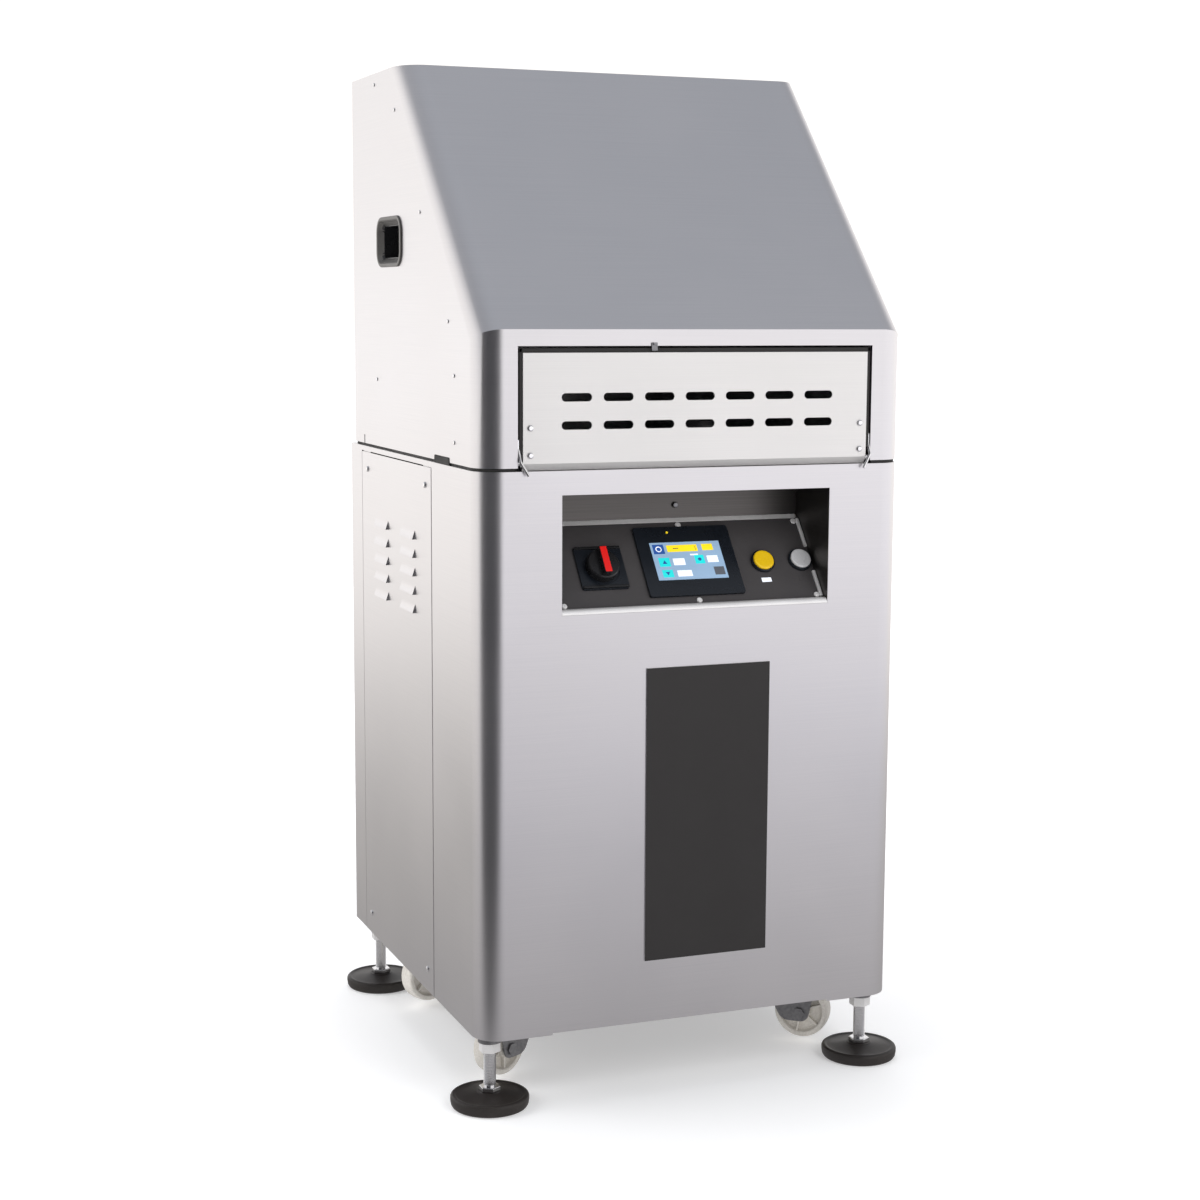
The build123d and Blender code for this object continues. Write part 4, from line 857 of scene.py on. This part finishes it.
nut_low, nut_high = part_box("jam_nuts")
nuts = []
for corner in corners:
    low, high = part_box("foot_pad_" + corner)
    middle = (low + high) / 2
    nuts.append(hexagon("nut", middle.x, middle.y, nut_low.z, nut_high.z, nut_across))
# The lock nuts get the painted highlight finish.
place(merged("lock_nuts", nuts), "cabinet", "bright_steel", painted_highlight_steel, "jam_nuts")

# %% [markdown]
# ## Casters
# A caster is a pressed fork under a swivel head, with a ball race between them, and a moulded wheel. The
# fork keeps the engineering shape. A copy of it with joined faces can be bevelled, which the loose
# triangles of the original can't.


# %% Copy of a node with rounded edges
def refined(node, width):
    """Copy of a node, its loose faces joined and its sharp edges rounded, that stands for the node."""
    piece = bpy.data.objects.new(node + "_body", frame["nodes"][node].data.copy())
    bpy.context.scene.collection.objects.link(piece)
    pick(piece, "FACE", lambda place, normal: True)
    bpy.ops.mesh.customdata_custom_splitnormals_clear()
    bpy.ops.mesh.remove_doubles(threshold=2e-6)
    bpy.ops.mesh.dissolve_limited(angle_limit=math.radians(0.5))
    done()
    soften(piece, width)
    return place(piece, body_of[node], slot_of[node], finishes[slot_of[node]], node)


def joint_named(name):
    """Joint of the engineering model, with its place and axis."""
    return next(joint for joint in frame["joints"] if joint["name"] == name)


# %% [markdown]
# The wheel is turned with a crowned tread, a thin web and a hub, and gets spokes through the web, so that
# it reads as a moulding and not as a disc. Each fork gets a tapered cover plate on both sides, and a race
# above.

# %% Casters
wheel_outline = [
    (5.1, -16), (11, -16), (12.5, -14.5), (13.5, -6), (15, -4.2), (25, -4.2), (28, -6.5), (29.5, -11.5),
    (31, -12.5), (35, -12.5), (36.6, -11), (37.4, -6), (37.5, 0), (37.4, 6), (36.6, 11), (35, 12.5),
    (31, 12.5), (29.5, 11.5), (28, 6.5), (25, 4.2), (15, 4.2), (13.5, 6), (12.5, 14.5), (11, 16), (5.1, 16),
    (5.1, -16),
]
race_outline = [(16, -10.5), (26, -10.5), (27.4, -9.0), (27.4, -6.2), (25.5, -4.9), (16, -4.9), (16, -10.5)]
spokes = 6
cheek_gap = 20.4 * MM
cheek_t = 2 * MM
cheek_taper = 0.42
for corner in corners:
    joint = joint_named("wheel_roll_" + corner)
    hub = Vector(joint["pos_m"])
    axle = Vector(joint["axis"])
    wheel = lathe("wheel_tread_" + corner, wheel_outline, hub, axle, steps=72)
    turn = Matrix.Translation(hub) @ UP.rotation_difference(axle).to_matrix().to_4x4()
    ribs = []
    for spoke in range(spokes):
        rib = block("rib", (12 * MM, -1.4 * MM, -10 * MM), (29.5 * MM, 1.4 * MM, 10 * MM))
        ribs.append(turned(rib, turn @ Matrix.Rotation(spoke * 2 * math.pi / spokes, 4, "Z")))
    wheel = merged("wheel_tread_" + corner, [wheel, *ribs])
    soften(wheel, 0.5 * MM)
    place(wheel, "wheel_" + corner, "wheel_nylon", wheel_nylon, "caster_wheel_" + corner)
    refined("caster_fork_" + corner, 0.6 * MM)
    swivel = Vector(joint_named("caster_swivel_" + corner)["pos_m"])
    trail = Vector((hub.x - swivel.x, hub.y - swivel.y, 0))
    fork_axes = Matrix((trail.normalized(), UP.cross(trail).normalized(), UP)).transposed().to_4x4()
    cheek_foot = hub.z - 12 * MM
    cheeks = []
    for side in (-1, 1):
        y0, y1 = sorted((side * cheek_gap, side * (cheek_gap + cheek_t)))
        cheek = block("cheek", (-28 * MM, y0, cheek_foot), (56 * MM, y1, hub.z + 50 * MM))
        pick(cheek, "FACE", lambda place, normal: normal.z < -0.9)
        bpy.ops.transform.resize(value=(cheek_taper, 1, 1), center_override=(trail.length, 0, cheek_foot))
        done()
        pick(cheek, "EDGE", lambda place, along: abs(along.y) > 0.9 and place.z < hub.z)
        bpy.ops.mesh.bevel(offset=9 * MM, segments=6, affect="EDGES")
        done()
        cheeks.append(cheek)
    cheek_pair = merged("fork_cheeks_" + corner, cheeks)
    soften(cheek_pair, 0.4 * MM)
    turned(cheek_pair, Matrix.Translation((swivel.x, swivel.y, 0)) @ fork_axes)
    place(cheek_pair, "caster_" + corner, "zinc_steel", zinc_steel)
    race = lathe("ball_race_" + corner, race_outline, swivel, steps=56)
    soften(race, 0.3 * MM)
    place(race, "caster_" + corner, "bright_steel", bright_steel)

# %% [markdown]
# ## Parts that keep their shape
# Knobs, hinges, valves, pipes and fittings are already right. Each gets a copy with joined faces and
# slightly rounded edges, because a real edge always catches a line of light. Some copies then get a second
# finish on a few faces: painted light and shade in the control recess, a painted highlight on its screws,
# near-black handle pockets and bright trim panel edges.


# %% A second finish on some faces
def second_finish(piece, finish_used, test):
    """Give another finish to the faces that pass a test of place and direction."""
    piece.data.materials.append(finish_used)
    for face in piece.data.polygons:
        if test(face.center, face.normal):
            face.material_index = 1


# %% [markdown]
# The width of each rounding follows the real part: wide on a casting, narrow on thin sheet and small
# screws.

# %% Rounded copies
rounded = {}
for node, width in {
    "handle_cups": 0.4, "hood_gasket": 0.6, "hood_rest_blocks": 0.5, "front_trim_panel": 0.5,
    "control_niche": 0.25, "fascia_plate": 0.3, "display_bezel": 0.6, "switch_plate": 0.6,
    "button_collars": 0.3, "switch_knob": 0.7, "hinge_fixed_leaves": 0.3, "hinge_moving_leaves": 0.3,
    "cable_gland": 0.5, "drain_valve": 0.5, "drain_lever": 0.5, "pump_housing": 1.0, "pump_motor": 1.0,
    "caster_plates": 0.5, "top_deck": 0.2, "rear_panel": 0.2, "electrical_box": 0.8, "flap_stops": 0.2,
}.items():
    rounded[node] = refined(node, width * MM)
for node in (
    "panel_screws", "hood_rivets", "flap_screws", "flap_pins", "side_panel_left", "side_panel_right",
):
    rounded[node] = refined(node, 0.12 * MM)
for node in ("tank", "tank_shelf", "heating_element", "temperature_probe", "pump_pipes", "pump_impeller"):
    rounded[node] = refined(node, 0.2 * MM)

# The screws in the recess get the painted highlight finish.
second_finish(
    rounded["panel_screws"], painted_highlight_steel,
    lambda place, normal: abs(place.x) < niche_high.x and niche_low.z < place.z < niche_high.z,
)
pocket_x = hood_high.x - 3 * MM
second_finish(rounded["handle_cups"], knob_plastic, lambda place, normal: abs(place.x) < pocket_x)
second_finish(rounded["front_trim_panel"], bright_steel, lambda place, normal: normal.y > -0.9)
# Painted light and shade: the recess's upward faces get the lit sheet, and the rest keeps the dark painted-shade
# copy.
second_finish(rounded["control_niche"], brushed_stainless, lambda place, normal: normal.z > 0.3)

# %% [markdown]
# ## Working on the sloped panel
# The control panel leans back. Its own axes are left to right, up the slope, and out of the face, taken
# from the plate's largest face, so that every small piece can be set out on it in plain millimetres.

# %% Axes of the panel
plate_mesh = frame["nodes"]["fascia_plate"].data
face_out = max(
    (face for face in plate_mesh.polygons if face.normal.z > 0.1 and face.normal.y < -0.1),
    key=lambda face: face.area,
).normal.copy()
panel_right = Vector((1, 0, 0))
panel_up = face_out.cross(panel_right).normalized()
screen_low, screen_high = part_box("display_screen")
screen_middle = (screen_low + screen_high) / 2
panel_axes = Matrix((panel_right, panel_up, face_out)).transposed().to_4x4()


def panel_block(name, anchor, right, up, width, height, depth0, depth1, rounding=0.3):
    """Small slab on the panel, in millimetres from an anchor: middle, size, and depths out of its plane."""
    piece = block(
        name, Vector((right - width / 2, up - height / 2, depth0)) * MM,
        Vector((right + width / 2, up + height / 2, depth1)) * MM,
    )
    soften(piece, rounding * MM)
    return turned(piece, Matrix.Translation(anchor) @ panel_axes)


print("panel slope", round(math.degrees(math.acos(face_out.z)), 1), "degrees from level")

# %% [markdown]
# ## What the screen shows
# The page is made up: a status bar, value fields, arrow keys and round icons. It could be painted by a
# material, but each is made as a hair-thin raised tile, so it stays crisp from any distance. None of them
# says anything.

# %% Screen page
screen_top = 0.75
tile_t = 0.25


def tiles(name, finish_used, places):
    """All the screen tiles of one colour."""
    made = [
        panel_block("tile", screen_middle, x, s, w, h, screen_top, screen_top + tile_t, 0.08)
        for x, s, w, h in places
    ]
    return place(merged(name, made), "cabinet", "screen_glass", finish_used)


tiles("screen_bars", screen_yellow, [(-5, 18.5, 42, 10), (30, 19, 15, 9.5)])
tiles("screen_fields", screen_white, [
    (-14, -1.5, 16, 10), (33, 1, 15, 10), (-10.5, -19, 20, 9), (9, 8.5, 11, 2),
])
tiles("screen_keys", screen_cyan, [(-34, -1.5, 15, 13), (-33.5, -18.5, 14.5, 11), (15, 1, 13, 13)])
tiles("screen_icon", screen_blue, [(-37.5, 18, 15, 14)])
tiles("screen_menu", screen_grey, [(38, -17, 14, 12), (13, 18.3, 1.2, 7), (-14, 18.5, 8, 1.6)])

# %% [markdown]
# Arrows, icons and the small status lamp lie on top of the tiles. A round bar with three sides is an arrow,
# and one with many sides is a disc.


# %% Arrows, icons and lamp
def panel_disc(name, x, s, depth0, depth1, radius, sides=40):
    """Small round or three-sided tile, in millimetres from the screen's middle."""
    piece = bar(name, Vector((x, s, depth0)) * MM, Vector((x, s, depth1)) * MM, radius * MM, sides)
    soften(piece, 0.08 * MM)
    return turned(piece, Matrix.Translation(screen_middle) @ panel_axes)


key_top = screen_top + tile_t
mark_top = key_top + 0.2
up_arrow = panel_disc("arrow", -34, -2.3, key_top, mark_top, 3.6, 3)
down_arrow = panel_disc("arrow", 33.5, 17.9, key_top, mark_top, 3.4, 3)
down_arrow = turned(
    down_arrow,
    Matrix.Translation(screen_middle) @ panel_axes @ Matrix.Rotation(math.pi, 4, "Z")
    @ panel_axes.inverted() @ Matrix.Translation(-screen_middle),
)
hand = panel_disc("hand", 15, 1, key_top, mark_top, 2.4)
place(merged("screen_arrows", [up_arrow, down_arrow, hand]), "cabinet", "screen_glass", screen_blue)
dial = panel_disc("dial", -37.5, 18, key_top, mark_top, 4.2)
hole = panel_disc("hole", -37.5, 18, key_top - 1, key_top + 1, 2.9)
combine(dial, hole, "DIFFERENCE")
place(merged("screen_dial", [dial]), "cabinet", "screen_glass", screen_white)
lamp = panel_disc("status_lamp", -20.5, 42, 2.0, 2.9, 1.4)
place(lamp, "cabinet", "screen_glass", screen_yellow)

# %% [markdown]
# ## Switch, buttons and labels
# The main switch has a red bar on its black grip, which turns with it, and two raised rails on its fixed
# plate. Both are set out from the switch's own turning axis, so that they stay centred on it.

# %% Main switch
switch_base = Vector(joint_named("switch_turn")["pos_m"])
grip_top = 23.3
switch_marker = panel_block(
    "switch_marker", switch_base, 0, 0, 8.6, 36.5, grip_top - 0.3, grip_top + 0.7, 0.3,
)
place(switch_marker, "main_switch", "red_sleeve", red_sleeve)

rails = [
    panel_block("rail", switch_base, 0, side * 28.6, 61.0, 3.4, 2.6, 5.4, 0.6) for side in (-1, 1)
]
place(merged("switch_rails", rails), "cabinet", "bezel_plastic", knob_plastic)

# %% [markdown]
# The push buttons have crowned caps that sink into their collars, so a cap is turned a little slimmer than
# the collar. Blank label plates lie below them; the yellow button's plate glows with the screen's white,
# as painted light.

# %% Push buttons and labels
cap_outline = [
    (0, -20.5), (6.9, -20.5), (6.9, 0.1), (12.4, 0.1), (13.8, 0.6), (13.8, 2.8), (13.1, 3.7), (12.0, 4.0),
    (9, 3.8), (4, 3.65), (0, 3.6),
]
cap_height = 4.0
button_lift = 3.4


def span(node, axis):
    """Lowest and highest place of a node along an axis."""
    heights = [corner.co.dot(axis) for corner in frame["nodes"][node].data.vertices]
    return min(heights), max(heights)


for node, body, cap_finish in (
    ("yellow_button", "yellow_push", yellow_cap), ("grey_button", "grey_push", grey_cap),
):
    base = face_out * (span(node, face_out)[1] - cap_height * MM)
    for axis in (panel_right, panel_up):
        base += axis * sum(span(node, axis)) / 2
    cap = lathe(node + "_cap", cap_outline, base, face_out, steps=56)
    soften(cap, 0.25 * MM)
    place(cap, body, slot_of[node], cap_finish, node)
    label = panel_block(
        node + "_label", base - face_out * button_lift * MM, -1.5, -27.0, 13.5, 6.2, 0, 0.5, 0.15,
    )
    # Painted light: the yellow button's label glows with the screen's white, though a label is no lamp.
    place(label, "cabinet", "grey_cap", screen_white if node == "yellow_button" else fascia_black)

# %% [markdown]
# ## Small folds in the recess
# The front sheet rolls inwards along the recess's lower edge, and that roll catches the light. A roll can
# be bent, but a block with one edge bevelled in ten steps gives the same quarter round.

# %% Rolled lip
lip_r = 6.5 * MM
lip = block(
    "niche_lip", niche_opening_low + Vector((0.2, 1.1, 0.1)) * MM,
    (niche_opening_high.x - 0.2 * MM, skin_low.y + 9.0 * MM, niche_opening_low.z + 0.1 * MM + lip_r),
)
lip_top = niche_opening_low.z + MM
lip_front = skin_low.y + MM
pick(lip, "EDGE", lambda place, along: abs(along.x) > 0.9 and place.y < lip_front and place.z > lip_top)
bpy.ops.mesh.bevel(offset=0.98 * lip_r, segments=10, affect="EDGES")
done()
soften(lip, 0.2 * MM)
# The roll's paler finish is a painted highlight.
place(lip, "cabinet", "brushed_stainless", painted_highlight_steel)

# %% [markdown]
# A strip covers the panel's right edge, above and below the grey button's collar, and a folded band runs
# above the panel; both are bright from a painted highlight finish. A small stud sits in the middle of the
# upper back wall.

# %% Edge strip, band and stud
fascia_low, fascia_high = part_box("fascia_plate")
strip = merged("panel_edge_strip", [
    block("strip", Vector((-4.2, s0, 0.2)) * MM, Vector((-0.2, s1, 4.6)) * MM)
    for s0, s1 in ((1.0, 40.0), (77.0, 121.0))
])
fold_band = block("fold_band", Vector((-359.0, 123.4, -1.6)) * MM, Vector((-1.2, 130.4, 0.4)) * MM)
strip_foot = Vector((fascia_high.x, fascia_low.y, fascia_low.z)) + Vector((0, 1.6, 0.9)) * MM
# Strip and band get the painted highlight finish.
for piece in (strip, fold_band):
    soften(piece, 0.8 * MM, 3)
    turned(piece, Matrix.Translation(strip_foot) @ panel_axes)
    place(piece, "cabinet", "brushed_stainless", painted_highlight_steel)
stud_place = Vector((8 * MM, niche_high.y - 1.2 * MM, niche_high.z - flange - 25 * MM))
stud_outline = [(0, 0), (4, 0), (4, 2.2), (3.2, 3.8), (0, 4.2)]
stud = lathe("niche_stud", stud_outline, stud_place, (0, -1, 0), steps=40)
soften(stud, 0.3 * MM)
place(stud, "cabinet", "zinc_steel", zinc_steel)

# %% [markdown]
# ## Studio
# The floor is white and has no visible edge. It glows a little, less near the machine, so that the
# machine's own soft shadow still shows on it.


# %% White floor
def set_ramp(ramp, stops):
    """Give a colour ramp its stops, each a position and a colour."""
    while len(ramp.elements) < len(stops):
        ramp.elements.new(0.5)
    for element, (position, colour) in zip(ramp.elements, stops):
        element.position = position
        element.color = (*colour, 1)


def radial_ramp(nodes, links, reach, stops):
    """Grey ramp by the distance from the object's middle, as far as a reach in metres."""
    place_node = nodes.new("ShaderNodeTexCoord")
    distance = nodes.new("ShaderNodeVectorMath")
    distance.operation = "LENGTH"
    links.new(place_node.outputs["Object"], distance.inputs[0])
    share = math_node(nodes, links, "DIVIDE", distance.outputs["Value"], reach)
    ramp = nodes.new("ShaderNodeValToRGB")
    set_ramp(ramp.color_ramp, [(radius / reach, (tone, tone, tone)) for radius, tone in stops])
    links.new(share, ramp.inputs[0])
    return ramp.outputs[0]


floor_reach = 6.0
bpy.ops.object.select_all(action="DESELECT")
bpy.ops.mesh.primitive_plane_add(size=120)
floor = bpy.context.object
floor.name = "studio_floor"
floor_finish = finish(
    "studio_floor", moulded_grain, 4.0, (0.80, 0.80, 0.80), (0.78, 0.78, 0.78), (0.80, 0.90), (0.0, 0.0001),
    Metallic=0.0, Specular_IOR_Level=0.0, Emission_Strength=1.0,
)
floor_nodes = floor_finish.node_tree.nodes
floor_links = floor_finish.node_tree.links
glow = radial_ramp(floor_nodes, floor_links, floor_reach, ((0.3, 0.34), (1.4, 0.55), (4.0, 1.0)))
floor_links.new(glow, floor_nodes["Principled BSDF"].inputs["Emission Color"])
floor.data.materials.append(floor_finish)
print("white floor", round(floor.dimensions.x), "m wide")

# %% [markdown]
# ### What the metal sees
# Satin metal shows what stands round it more than the lamps. A second floor, seen only in reflections, gets
# darker towards the machine and at its left front corner, cooler in front and warmer behind. Lamps alone
# would give bright panes, not such slow changes of tone.


# %% Floor as the metal sees it
def reflections_only(piece):
    """Hide a piece from the camera and from diffuse light, so that only reflections show it."""
    piece.visible_camera = False
    piece.visible_diffuse = False
    piece.visible_shadow = False
    piece.visible_transmission = False


bpy.ops.object.select_all(action="DESELECT")
bpy.ops.mesh.primitive_plane_add(size=40, location=(0, 0, 0.4 * MM))
mirror_floor = bpy.context.object
mirror_floor.name = "reflected_floor"
mirror_finish = bpy.data.materials.new("reflected_floor")
mirror_finish.use_nodes = True
nodes, links = mirror_finish.node_tree.nodes, mirror_finish.node_tree.links
nodes.remove(nodes["Principled BSDF"])
shine = nodes.new("ShaderNodeEmission")
tone = radial_ramp(
    nodes, links, floor_reach, ((0.5, 0.38), (1.5, 0.50), (2.5, 0.66), (3.7, 0.92), (5.5, 1.15)),
)
place_node = nodes.new("ShaderNodeTexCoord")
split = nodes.new("ShaderNodeSeparateXYZ")
links.new(place_node.outputs["Object"], split.inputs[0])
rearward = range_node(nodes, links, split.outputs[1], -1.5, 0.8)
leftward = range_node(nodes, links, split.outputs[0], -0.30, -0.62, smooth=True)
frontward = range_node(nodes, links, split.outputs[1], -0.28, -0.60, smooth=True)
corner_shade = math_node(nodes, links, "MULTIPLY", leftward, frontward)
darkness = math_node(nodes, links, "MULTIPLY", corner_shade, 0.88)
links.new(math_node(nodes, links, "SUBTRACT", 1.0, darkness), shine.inputs["Strength"])
cool = (0.985, 0.97, 1.03)
warm = (1.02, 0.985, 0.95)
tinted = nodes.new("ShaderNodeMix")
tinted.data_type = "RGBA"
tinted.blend_type = "MULTIPLY"
tinted.inputs["Factor"].default_value = 1.0
links.new(tone, tinted.inputs["A"])
links.new(colour_mix(nodes, links, rearward, cool, warm), tinted.inputs["B"])
links.new(tinted.outputs["Result"], shine.inputs["Color"])
links.new(shine.outputs[0], nodes["Material Output"].inputs["Surface"])
mirror_floor.data.materials.append(mirror_finish)
reflections_only(mirror_floor)
print("reflected floor", len(nodes), "nodes")

# %% [markdown]
# A black cloth stands at the left front, as beside a real camera. It puts the dark line along the rounded
# front corner that tells the eye it is round.

# %% Black cloth beside the camera
cloth = block("black_cloth", (-0.01, -1.75, 0.0), (0.01, 1.75, 3.6))
cloth_turn = math.radians(45)
turned(cloth, Matrix.Translation((-1.45, -1.65, 0)) @ Matrix.Rotation(cloth_turn, 4, "Z"))
cloth.data.materials.append(finish(
    "black_cloth", moulded_grain, 30.0, (0.05, 0.05, 0.055), (0.03, 0.03, 0.033), (0.9, 1.0), (0.0, 0.0001),
    Metallic=0.0, Specular_IOR_Level=0.0,
))
reflections_only(cloth)
print("cloth", round(cloth.dimensions.z, 1), "m high")

# %% [markdown]
# The sky is a ramp by height: a bright, slightly warm horizon and a greyer top. A plain white sky would
# wash out the slope of the hood, which reflects the top.

# %% Sky
world = bpy.data.worlds.new("studio")
bpy.context.scene.world = world
world.use_nodes = True
nodes, links = world.node_tree.nodes, world.node_tree.links
direction = nodes.new("ShaderNodeTexCoord")
height = nodes.new("ShaderNodeSeparateXYZ")
links.new(direction.outputs["Generated"], height.inputs[0])
sky = nodes.new("ShaderNodeValToRGB")
set_ramp(sky.color_ramp, (
    (0.0, (1.17, 1.14, 1.11)), (0.28, (1.07, 1.05, 1.04)), (0.60, (0.38, 0.39, 0.42)),
    (1.0, (0.44, 0.46, 0.50)),
))
links.new(height.outputs[2], sky.inputs[0])
links.new(sky.outputs[0], nodes["Background"].inputs["Color"])
nodes["Background"].inputs["Strength"].default_value = 1.0
print("sky", len(sky.color_ramp.elements), "stops")

# %% [markdown]
# Three large square lamps give soft shadows. They stay out of the reflections, where their edges would show
# as bright panes on the sheet.


# %% Lamps
def soft_light(name, spot, target, size, power):
    """Large square lamp at a spot, turned to a target, that doesn't show in reflections."""
    spot = Vector(spot)
    bpy.ops.object.light_add(type="AREA", location=spot)
    light = bpy.context.object
    light.name = name
    light.data.size = size
    light.data.energy = power
    light.rotation_euler = (Vector(target) - spot).to_track_quat("-Z", "Y").to_euler()
    light.visible_glossy = False
    print(name, power, "W")


soft_light("left_light", (-3.2, 0.6, 2.6), (0, 0, 0.7), 2.4, 60)
soft_light("front_light", (1.4, -3.6, 3.2), (0, 0, 0.7), 2.2, 60)
soft_light("top_light", (0.2, 1.6, 4.2), (0, 0, 0.5), 3.0, 60)
bpy.context.scene.view_settings.view_transform = "Standard"
